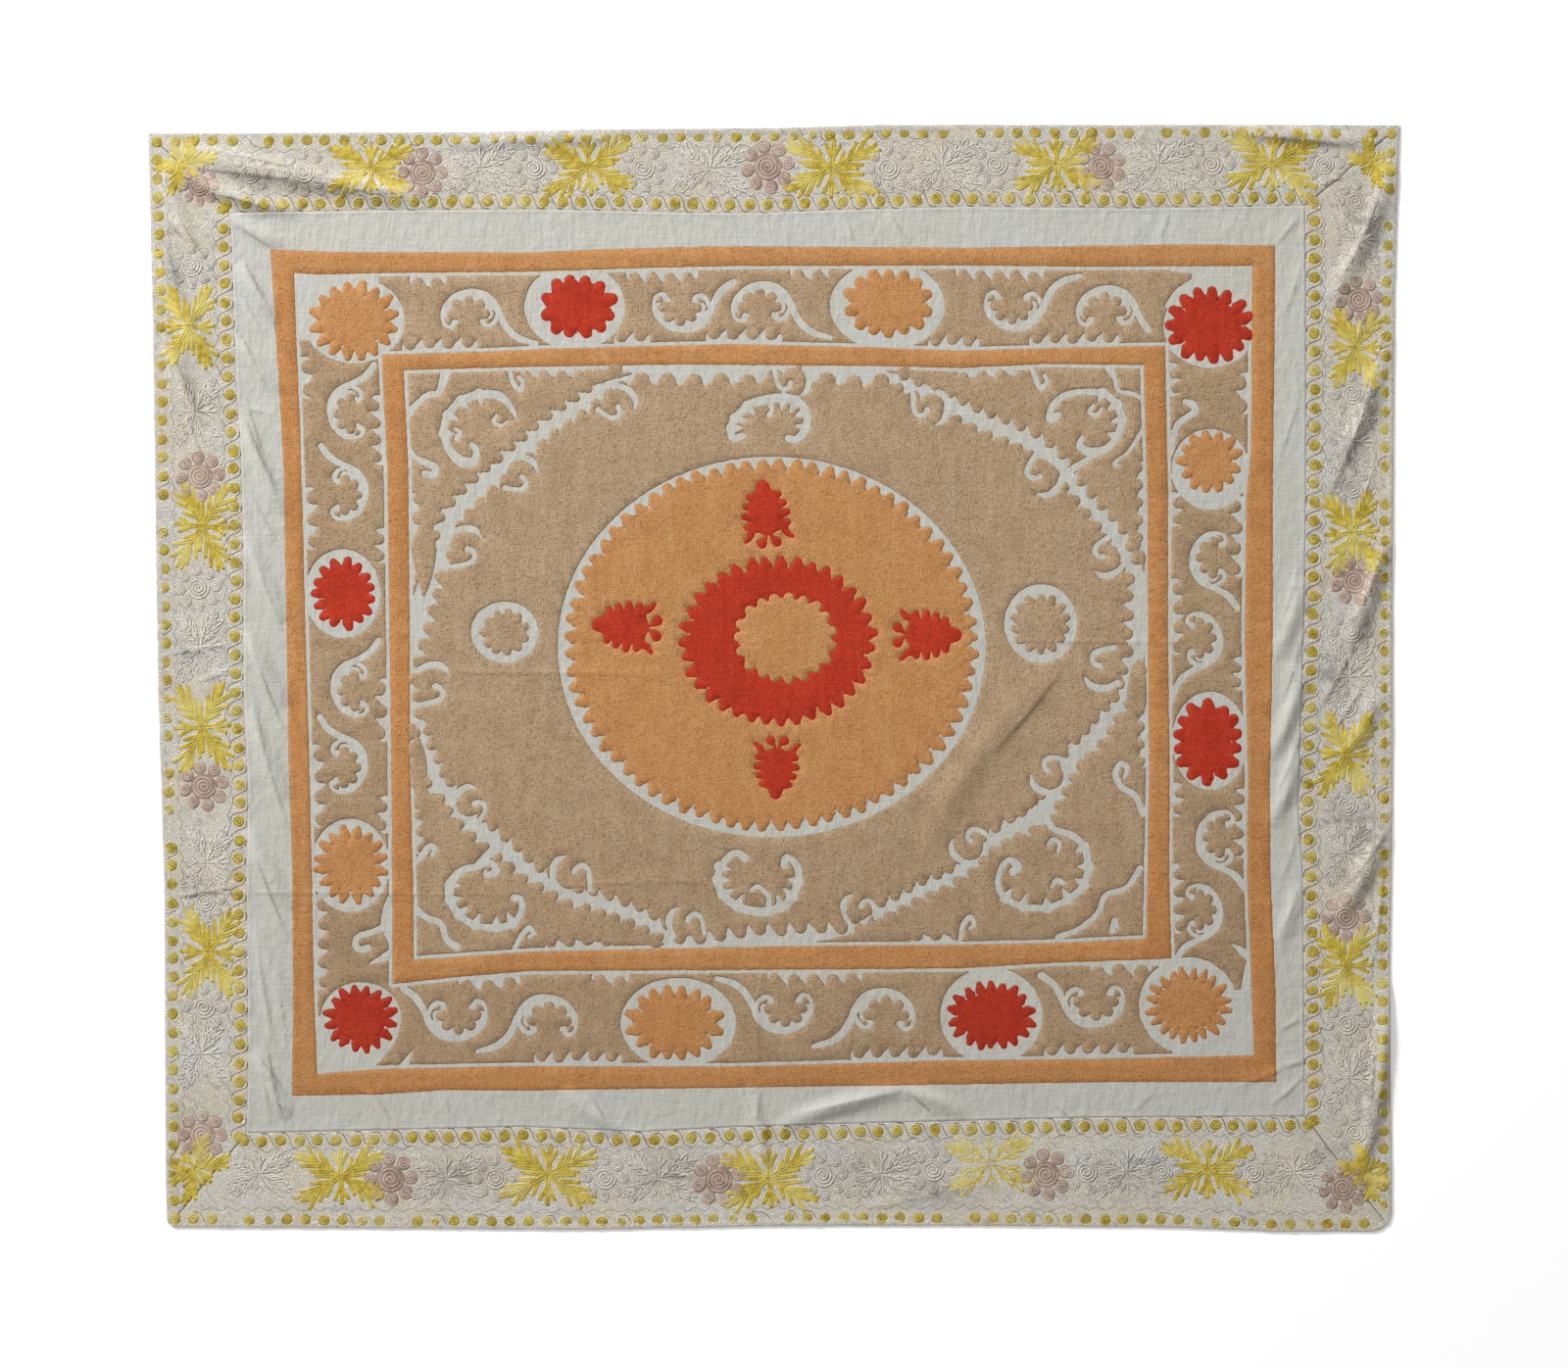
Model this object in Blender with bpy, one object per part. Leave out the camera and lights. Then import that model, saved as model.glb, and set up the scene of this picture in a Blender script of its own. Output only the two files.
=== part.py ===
"""A suzani: one embroidered cotton panel with a border of four mitred strips sewn round it,
laid out flat with the low folds of a cloth that has been stored and shaken out.

Metres, +Z up. The origin is on the surface that the cloth lies on, under the middle of its outline.
+X runs along the longer side and +Y towards the straight-cornered edge, the top of the design.
"""

from collections import namedtuple

import bmesh
import bpy
import numpy as np

# Cloth thicknesses. The panel is cotton under dense couched silk, the border a lighter figured cloth.
PANEL_THICK = 0.0020
BORDER_THICK = 0.0018
HEM_WIDTH = 0.010
HEM_EXTRA = 0.0010

# Air left between two pieces where one is sewn to the next.
SEAM_GAP = 0.0003
MITRE_PULL = 0.00045

# The two lower corners of the outline are rounded and the upper ones are square. For each edge, the
# radius at its low end (left or bottom) and at its high end.
ROUND_LEFT = 0.016
ROUND_RIGHT = 0.034
CORNER_RADII = {
    "top": (0.0, 0.0),
    "bottom": (ROUND_LEFT, ROUND_RIGHT),
    "left": (ROUND_LEFT, 0.0),
    "right": (ROUND_RIGHT, 0.0),
}

# Cells of the sheets: close together in the creased margins, wide over the flat embroidered field.
# A strip's columns start from the panel's own edge points, each field cell split for the strip's folds.
MARGIN_DEPTH = 0.105
MARGIN_CELLS = 9
FIELD_CELLS_X = 28
FIELD_CELLS_Y = 24
FIELD_SPLITS = 2
END_SPLITS = 3
STRIP_CELLS_ACROSS = 10

# Below this rise a fold's foot counts as lying on the surface. A fold's crest falls away at its two ends
# as a half sine to this power, so that most of its length is near full height.
FOOT = 0.0003
CREST_POWER = 0.7

# Faces that meet more sharply than this are shaded as an edge.
SHARP_ANGLE = np.radians(40.0)

# Each line is a hand-sewn edge, read as points (place along it, place across it).
OUTER_EDGES = {
    "top": [(-1.100, 0.958), (-0.499, 0.961), (-0.326, 0.965), (0.018, 0.968), (0.190, 0.973), (0.879, 0.973),
            (1.100, 0.972)],
    "bottom": [(-1.067, -0.965), (-0.843, -0.966), (-0.326, -0.970), (0.018, -0.963), (0.363, -0.963),
               (0.707, -0.966), (0.879, -0.973), (1.086, -0.973)],
    "left": [(-0.965, -1.067), (-0.875, -1.069), (-0.358, -1.072), (-0.014, -1.083), (0.331, -1.088),
             (0.675, -1.093), (0.958, -1.100)],
    "right": [(-0.973, 1.086), (-0.875, 1.086), (-0.531, 1.083), (-0.186, 1.088), (0.158, 1.088),
              (0.675, 1.091), (0.972, 1.100)],
}
SEAMS = {
    "top": [(-0.954, 0.817), (-0.664, 0.822), (-0.380, 0.823), (-0.127, 0.817), (-0.025, 0.817),
            (0.075, 0.821), (0.328, 0.828), (0.638, 0.825), (0.933, 0.830)],
    "bottom": [(-0.926, -0.799), (-0.692, -0.794), (-0.444, -0.788), (-0.228, -0.797), (-0.077, -0.789),
               (0.075, -0.784), (0.277, -0.779), (0.535, -0.772), (0.933, -0.770)],
    "left": [(-0.799, -0.926), (-0.682, -0.923), (-0.336, -0.926), (-0.196, -0.923), (-0.009, -0.932),
             (0.181, -0.931), (0.382, -0.935), (0.548, -0.945), (0.817, -0.954)],
    "right": [(-0.770, 0.933), (-0.496, 0.931), (-0.324, 0.929), (-0.226, 0.921), (-0.078, 0.926),
              (0.121, 0.932), (0.319, 0.935), (0.658, 0.935), (0.830, 0.933)],
}

# Soft ridges that stand up from the surface. Rise and half width are in metres, and bow is how far the
# ridge's middle lies to the left of the straight line from start to end.
Fold = namedtuple("Fold", "name start end rise half_width bow")
FOLDS = [
    Fold("corner_long", (-1.076, 0.934), (-0.590, 0.842), 0.010, 0.017, -0.010),
    Fold("corner_short", (-1.070, 0.900), (-0.830, 0.818), 0.009, 0.015, -0.012),
    Fold("left_strip_high", (-1.076, 0.905), (-1.010, 0.750), 0.006, 0.014, -0.006),
    Fold("left_strip_middle", (-1.080, 0.753), (-0.980, 0.545), 0.008, 0.015, -0.008),
    Fold("left_strip_low", (-1.070, 0.590), (-1.010, 0.440), 0.006, 0.014, 0.005),
    Fold("left_margin_1", (-0.965, 0.815), (-0.862, 0.758), 0.005, 0.013, 0.000),
    Fold("left_margin_2", (-0.945, 0.730), (-0.868, 0.625), 0.006, 0.013, -0.004),
    Fold("left_margin_3", (-0.945, 0.600), (-0.860, 0.500), 0.005, 0.013, -0.004),
    Fold("left_margin_4", (-0.940, 0.465), (-0.855, 0.285), 0.007, 0.014, -0.006),
    Fold("left_margin_5", (-0.926, 0.258), (-0.855, 0.100), 0.006, 0.014, -0.005),
    Fold("left_margin_6", (-0.928, 0.090), (-0.853, -0.050), 0.007, 0.014, -0.005),
    Fold("left_margin_7", (-0.924, -0.055), (-0.846, -0.215), 0.006, 0.014, -0.006),
    Fold("left_margin_8", (-0.922, -0.262), (-0.842, -0.405), 0.007, 0.014, -0.006),
    Fold("left_margin_9", (-0.922, -0.430), (-0.836, -0.585), 0.005, 0.014, -0.005),
    Fold("left_margin_10", (-0.914, -0.650), (-0.850, -0.775), 0.006, 0.013, -0.004),
    Fold("right_margin_1", (0.930, 0.180), (0.882, 0.030), 0.006, 0.014, 0.005),
    Fold("right_margin_2", (0.928, 0.021), (0.874, -0.143), 0.008, 0.014, 0.006),
    Fold("right_margin_3", (0.921, -0.120), (0.874, -0.262), 0.008, 0.014, 0.006),
    Fold("right_margin_4", (0.926, -0.350), (0.884, -0.480), 0.005, 0.014, 0.004),
    Fold("right_strip_1", (1.086, 0.905), (0.980, 0.665), 0.009, 0.018, 0.010),
    Fold("right_strip_2", (1.078, 0.598), (0.992, 0.365), 0.007, 0.017, 0.008),
    Fold("right_strip_3", (1.076, 0.253), (1.006, 0.045), 0.009, 0.016, 0.006),
    Fold("right_strip_4", (1.072, -0.014), (0.998, -0.144), 0.006, 0.016, 0.004),
    Fold("right_strip_5", (1.074, -0.262), (0.982, -0.430), 0.009, 0.016, 0.008),
    Fold("right_strip_6", (1.078, -0.530), (1.030, -0.870), 0.010, 0.014, 0.012),
    Fold("top_right_tuck", (0.790, 0.960), (1.074, 0.938), 0.006, 0.013, 0.004),
    Fold("top_left_line", (-0.600, 0.934), (-0.250, 0.950), 0.005, 0.012, 0.004),
    Fold("bottom_margin_1", (0.000, -0.792), (0.240, -0.722), 0.008, 0.014, 0.006),
    Fold("bottom_margin_2", (0.228, -0.722), (0.335, -0.772), 0.006, 0.013, 0.006),
    Fold("bottom_margin_3", (-0.370, -0.722), (-0.272, -0.800), 0.006, 0.014, -0.004),
    Fold("bottom_middle", (-0.042, -0.716), (-0.013, -0.868), 0.005, 0.012, 0.000),
    Fold("field_diagonal", (0.500, 0.030), (0.262, -0.315), 0.006, 0.024, -0.022),
]

# Colour (linear RGB), roughness.
MATERIALS = {
    "cotton_ground": ((0.55, 0.56, 0.51), 0.92),
    "border_cloth": ((0.49, 0.46, 0.39), 0.85),
}


def line_at(points, place):
    """Where a hand-sewn line lies across, at a place along it."""
    along, across = zip(*points)
    return np.interp(place, along, across)


def relief(x, y):
    """Height of the cloth's underside above the surface, from all the folds."""
    height = np.zeros_like(x)
    for fold in FOLDS:
        start, end = np.array(fold.start), np.array(fold.end)
        run = end - start
        length = np.hypot(*run)
        heading = run / length
        along = ((x - start[0]) * heading[0] + (y - start[1]) * heading[1]) / length
        aside = (y - start[1]) * heading[0] - (x - start[0]) * heading[1]
        inside = np.clip(along, 0.0, 1.0)
        aside = aside - fold.bow * 4.0 * inside * (1.0 - inside)
        crest = fold.rise * np.sin(np.pi * inside) ** CREST_POWER
        height += crest * np.exp(-((aside / fold.half_width) ** 2))
    return np.maximum(height - FOOT, 0.0)


def graded(length, field_cells):
    """Places from 0 to 1 along a length: close together in both margins, wider over the field between."""
    margin = MARGIN_DEPTH / length
    low = np.linspace(0.0, margin, MARGIN_CELLS + 1)
    middle = np.linspace(margin, 1.0 - margin, field_cells + 1)
    return np.concatenate([low, middle[1:-1], 1.0 - low[::-1]])


def panel_points():
    """Plan points of the embroidered panel, filling the four seam lines, in rows from bottom to top."""
    width = SEAMS["top"][-1][0] - SEAMS["top"][0][0]
    depth = SEAMS["left"][-1][0] - SEAMS["left"][0][0]
    s, t = np.meshgrid(graded(width, FIELD_CELLS_X), graded(depth, FIELD_CELLS_Y))
    x_rough = SEAMS["top"][0][0] + s * width
    y_rough = (1 - t) * line_at(SEAMS["bottom"], x_rough) + t * line_at(SEAMS["top"], x_rough)
    x = (1 - s) * line_at(SEAMS["left"], y_rough) + s * line_at(SEAMS["right"], y_rough)
    y = (1 - t) * line_at(SEAMS["bottom"], x) + t * line_at(SEAMS["top"], x)
    return np.stack([x, y], axis=-1)


def corner_setback(distance, radius):
    """How far a rounded corner's arc lies inside the edge, at a distance along the edge from the corner."""
    inside = np.clip(radius - distance, 0.0, radius)
    return radius - np.sqrt(radius**2 - inside**2)


def subdivided(edge):
    """The points of one panel edge with more between them, all on its straight stretches."""
    parts = []
    for cell in range(len(edge) - 1):
        in_margin = cell < MARGIN_CELLS or cell >= len(edge) - 1 - MARGIN_CELLS
        at_end = cell in (0, len(edge) - 2)
        count = END_SPLITS if at_end else 1 if in_margin else FIELD_SPLITS
        steps = np.arange(count)[:, None] / count
        parts.append(edge[cell] + steps * (edge[cell + 1] - edge[cell]))
    return np.concatenate([*parts, edge[-1:]])


def strip_points(side, panel):
    """Plan points of one border strip, in rows from its seam with the panel out to its hemmed edge."""
    panel_edges = {"top": panel[-1], "bottom": panel[0], "left": panel[:, 0], "right": panel[:, -1]}
    seam = subdivided(panel_edges[side])
    lengthwise = side in ("top", "bottom")
    outward = 1.0 if side in ("top", "right") else -1.0
    seam_place, seam_aside = (seam[:, 0], seam[:, 1]) if lengthwise else (seam[:, 1], seam[:, 0])
    share = (seam_place - seam_place[0]) / (seam_place[-1] - seam_place[0])

    outer = OUTER_EDGES[side]
    low, high = outer[0][0], outer[-1][0]
    radius_low, radius_high = CORNER_RADII[side]
    mid_arc = 1.0 - np.sqrt(0.5)
    outer_place = low + mid_arc * radius_low + share * (high - low - mid_arc * (radius_low + radius_high))
    setback = corner_setback(outer_place - low, radius_low) + corner_setback(high - outer_place, radius_high)
    outer_aside = line_at(outer, outer_place) - outward * setback

    # The mitres of the two long strips stand back, so that no strip touches its neighbour.
    pull = MITRE_PULL * (1.0 - 2.0 * share) if lengthwise else 0.0
    depth = abs(outer[0][1] - seam_aside[0])
    rows = np.append(np.linspace(0.0, 1.0 - HEM_WIDTH / depth, STRIP_CELLS_ACROSS), 1.0)[:, None]
    place = (1 - rows) * seam_place + rows * outer_place + pull
    aside = (1 - rows) * (seam_aside + outward * SEAM_GAP) + rows * outer_aside
    return np.stack([place, aside] if lengthwise else [aside, place], axis=-1)


def add_sheet(name, points, thickness, hem_rows, material):
    """A sheet of even thickness over rows of plan points. The last hem_rows rows are a turned hem."""
    rows, columns = points.shape[:2]
    x, y = points[..., 0].ravel(), points[..., 1].ravel()
    z = relief(x, y)

    mesh = bpy.data.meshes.new(name)
    bm = bmesh.new()
    bmesh.ops.create_grid(bm, x_segments=columns - 1, y_segments=rows - 1, size=1.0)
    bm.verts.ensure_lookup_table()
    extra = bm.verts.layers.float.new("hem")
    for vert, place in zip(bm.verts, zip(x, y, z)):
        vert.co = place
    for vert in bm.verts[(rows - hem_rows) * columns :]:
        vert[extra] = HEM_EXTRA

    grown = bmesh.ops.extrude_face_region(bm, geom=bm.faces[:])
    for vert in grown["geom"]:
        if isinstance(vert, bmesh.types.BMVert):
            vert.co.z += thickness + vert[extra]
    bm.verts.layers.float.remove(extra)
    bmesh.ops.recalc_face_normals(bm, faces=bm.faces[:])
    bm.to_mesh(mesh)
    bm.free()
    mesh.shade_smooth()
    mesh.set_sharp_from_angle(angle=SHARP_ANGLE)
    mesh.materials.append(material)

    sheet = bpy.data.objects.new(name, mesh)
    bpy.context.scene.collection.objects.link(sheet)
    return sheet


def make_material(name):
    colour, roughness = MATERIALS[name]
    material = bpy.data.materials.new(name)
    material.use_nodes = True
    shader = material.node_tree.nodes["Principled BSDF"]
    shader.inputs["Base Color"].default_value = (*colour, 1.0)
    shader.inputs["Roughness"].default_value = roughness
    shader.inputs["Metallic"].default_value = 0.0
    return material


def main():
    for old in list(bpy.data.objects):
        bpy.data.objects.remove(old)
    materials = {name: make_material(name) for name in MATERIALS}
    panel = panel_points()
    add_sheet("centre_panel", panel, PANEL_THICK, 0, materials["cotton_ground"])
    for side in ("top", "right", "bottom", "left"):
        strip = strip_points(side, panel)
        add_sheet(f"border_strip_{side}", strip, BORDER_THICK, 2, materials["border_cloth"])


main()
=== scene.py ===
"""Looks of the suzani: the embroidered panel and its border as cloth, thread, light and camera.

Metres, in the frame of the CAD model: +X to the right of the photo, +Y to its top, +Z up, and the
cloth laid out on z = 0.
"""

from collections import namedtuple

import bpy
import numpy as np
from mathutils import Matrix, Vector
from mathutils.geometry import delaunay_2d_cdt


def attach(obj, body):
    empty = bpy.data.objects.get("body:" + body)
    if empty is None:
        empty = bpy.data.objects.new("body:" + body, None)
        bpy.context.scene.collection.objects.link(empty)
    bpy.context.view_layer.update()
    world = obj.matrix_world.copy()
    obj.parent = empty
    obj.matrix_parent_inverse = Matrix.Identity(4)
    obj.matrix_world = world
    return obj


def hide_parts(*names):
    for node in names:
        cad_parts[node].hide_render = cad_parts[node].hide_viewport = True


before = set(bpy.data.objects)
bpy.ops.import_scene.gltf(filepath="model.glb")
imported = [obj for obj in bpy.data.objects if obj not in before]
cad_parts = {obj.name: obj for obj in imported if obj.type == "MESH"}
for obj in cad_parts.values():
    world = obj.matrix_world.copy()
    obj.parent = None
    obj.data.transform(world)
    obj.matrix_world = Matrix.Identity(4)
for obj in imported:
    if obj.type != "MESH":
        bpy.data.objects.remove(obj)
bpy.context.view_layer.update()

RNG = np.random.default_rng(1927)

# Places were read off the photo, in its pixels. The cloth is 1277 of them across its top edge.
CLOTH_WIDTH = 2.200
PHOTO_WIDTH = 1277
PHOTO_MIDDLE = (789.5, 692.0)
PIXEL = CLOTH_WIDTH / PHOTO_WIDTH


def x_at(column):
    """The x of a column of the photo, to the millimetre."""
    return round((column - PHOTO_MIDDLE[0]) * PIXEL, 3)


def y_at(row):
    """The y of a row of the photo, to the millimetre."""
    return round((PHOTO_MIDDLE[1] - row) * PIXEL, 3)


def pixels(count):
    """A length read off the photo."""
    return round(count * PIXEL, 4)


def at(column, row, *half_width):
    """A place in the photo as x and y, with a half width behind them where one is given."""
    return (x_at(column), y_at(row), *map(pixels, half_width))


def stroke(*places):
    """A line through places in the photo."""
    return [at(*place) for place in places]


def oval_at(column, row, half_width, half_height):
    """The middle of an oval in the photo, and its half sizes."""
    return at(column, row), (pixels(half_width), pixels(half_height))


def runs_at(convert, *runs):
    """Stretches along x or y, from where to where."""
    return [(convert(start), convert(end)) for start, end in runs]


# Cloth: the same lines and folds as in the CAD model.
PANEL_THICK = 0.0020
BORDER_THICK = 0.0018
HEM_WIDTH = 0.010
SEAM_GAP = 0.0003
MITRE_PULL = 0.00045
FOOT = 0.0003
CREST_POWER = 0.7
ROUND_LEFT = 0.016
ROUND_RIGHT = 0.034
CORNER_RADII = {
    "top": (0.0, 0.0),
    "bottom": (ROUND_LEFT, ROUND_RIGHT),
    "left": (ROUND_LEFT, 0.0),
    "right": (ROUND_RIGHT, 0.0),
}

# Each line is a hand-sewn edge, read as points (place along it, place across it).
OUTER_EDGES = {
    "top": [
        (-1.100, 0.958), (-0.499, 0.961), (-0.326, 0.965), (0.018, 0.968), (0.190, 0.973), (0.879, 0.973),
        (1.100, 0.972),
    ],
    "bottom": [
        (-1.067, -0.965), (-0.843, -0.966), (-0.326, -0.970), (0.018, -0.963), (0.363, -0.963),
        (0.707, -0.966), (0.879, -0.973), (1.086, -0.973),
    ],
    "left": [
        (-0.965, -1.067), (-0.875, -1.069), (-0.358, -1.072), (-0.014, -1.083), (0.331, -1.088),
        (0.675, -1.093), (0.958, -1.100),
    ],
    "right": [
        (-0.973, 1.086), (-0.875, 1.086), (-0.531, 1.083), (-0.186, 1.088), (0.158, 1.088), (0.675, 1.091),
        (0.972, 1.100),
    ],
}
SEAMS = {
    "top": [(-0.954, 0.817), (-0.664, 0.822), (-0.380, 0.823), (-0.127, 0.817), (-0.025, 0.817),
            (0.075, 0.821), (0.328, 0.828), (0.638, 0.825), (0.933, 0.830)],
    "bottom": [(-0.926, -0.799), (-0.692, -0.794), (-0.444, -0.788), (-0.228, -0.797), (-0.077, -0.789),
               (0.075, -0.784), (0.277, -0.779), (0.535, -0.772), (0.933, -0.770)],
    "left": [(-0.799, -0.926), (-0.682, -0.923), (-0.336, -0.926), (-0.196, -0.923), (-0.009, -0.932),
             (0.181, -0.931), (0.382, -0.935), (0.548, -0.945), (0.817, -0.954)],
    "right": [(-0.770, 0.933), (-0.496, 0.931), (-0.324, 0.929), (-0.226, 0.921), (-0.078, 0.926),
              (0.121, 0.932), (0.319, 0.935), (0.658, 0.935), (0.830, 0.933)],
}

# Soft ridges that stand up from the surface. Rise and half width are in metres, and bow is how far the
# ridge's middle lies to the left of the straight line from start to end.
Fold = namedtuple("Fold", "name start end rise half_width bow")
FOLDS = [
    Fold("corner_long", (-1.076, 0.934), (-0.590, 0.842), 0.010, 0.017, -0.010),
    Fold("corner_short", (-1.070, 0.900), (-0.830, 0.818), 0.009, 0.015, -0.012),
    Fold("left_strip_high", (-1.076, 0.905), (-1.010, 0.750), 0.006, 0.014, -0.006),
    Fold("left_strip_middle", (-1.080, 0.753), (-0.980, 0.545), 0.008, 0.015, -0.008),
    Fold("left_strip_low", (-1.070, 0.590), (-1.010, 0.440), 0.006, 0.014, 0.005),
    Fold("left_margin_1", (-0.965, 0.815), (-0.862, 0.758), 0.005, 0.013, 0.000),
    Fold("left_margin_2", (-0.945, 0.730), (-0.868, 0.625), 0.006, 0.013, -0.004),
    Fold("left_margin_3", (-0.945, 0.600), (-0.860, 0.500), 0.005, 0.013, -0.004),
    Fold("left_margin_4", (-0.940, 0.465), (-0.855, 0.285), 0.007, 0.014, -0.006),
    Fold("left_margin_5", (-0.926, 0.258), (-0.855, 0.100), 0.006, 0.014, -0.005),
    Fold("left_margin_6", (-0.928, 0.090), (-0.853, -0.050), 0.007, 0.014, -0.005),
    Fold("left_margin_7", (-0.924, -0.055), (-0.846, -0.215), 0.006, 0.014, -0.006),
    Fold("left_margin_8", (-0.922, -0.262), (-0.842, -0.405), 0.007, 0.014, -0.006),
    Fold("left_margin_9", (-0.922, -0.430), (-0.836, -0.585), 0.005, 0.014, -0.005),
    Fold("left_margin_10", (-0.914, -0.650), (-0.850, -0.775), 0.006, 0.013, -0.004),
    Fold("right_margin_1", (0.930, 0.180), (0.882, 0.030), 0.006, 0.014, 0.005),
    Fold("right_margin_2", (0.928, 0.021), (0.874, -0.143), 0.008, 0.014, 0.006),
    Fold("right_margin_3", (0.921, -0.120), (0.874, -0.262), 0.008, 0.014, 0.006),
    Fold("right_margin_4", (0.926, -0.350), (0.884, -0.480), 0.005, 0.014, 0.004),
    Fold("right_strip_1", (1.086, 0.905), (0.980, 0.665), 0.009, 0.018, 0.010),
    Fold("right_strip_2", (1.078, 0.598), (0.992, 0.365), 0.007, 0.017, 0.008),
    Fold("right_strip_3", (1.076, 0.253), (1.006, 0.045), 0.009, 0.016, 0.006),
    Fold("right_strip_4", (1.072, -0.014), (0.998, -0.144), 0.006, 0.016, 0.004),
    Fold("right_strip_5", (1.074, -0.262), (0.982, -0.430), 0.009, 0.016, 0.008),
    Fold("right_strip_6", (1.078, -0.530), (1.030, -0.870), 0.010, 0.014, 0.012),
    Fold("top_right_tuck", (0.790, 0.960), (1.074, 0.938), 0.006, 0.013, 0.004),
    Fold("top_left_line", (-0.600, 0.934), (-0.250, 0.950), 0.005, 0.012, 0.004),
    Fold("bottom_margin_1", (0.000, -0.792), (0.240, -0.722), 0.008, 0.014, 0.006),
    Fold("bottom_margin_2", (0.228, -0.722), (0.335, -0.772), 0.006, 0.013, 0.006),
    Fold("bottom_margin_3", (-0.370, -0.722), (-0.272, -0.800), 0.006, 0.014, -0.004),
    Fold("bottom_middle", (-0.042, -0.716), (-0.013, -0.868), 0.005, 0.012, 0.000),
    Fold("field_diagonal", (0.500, 0.030), (0.262, -0.315), 0.006, 0.024, -0.022),
]

# The plain cloth: grids that fill the seam lines, closer together in the creased margins.
MARGIN_DEPTH = 0.105
RIM = [0.0, 0.0012, 0.0028, 0.0048, 0.0075, 0.0110]
MARGIN_CELLS = 21
FIELD_CELLS_X = 166
FIELD_CELLS_Y = 138
STRIP_ROWS = 30
FIELD_SPLITS = 2

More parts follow.
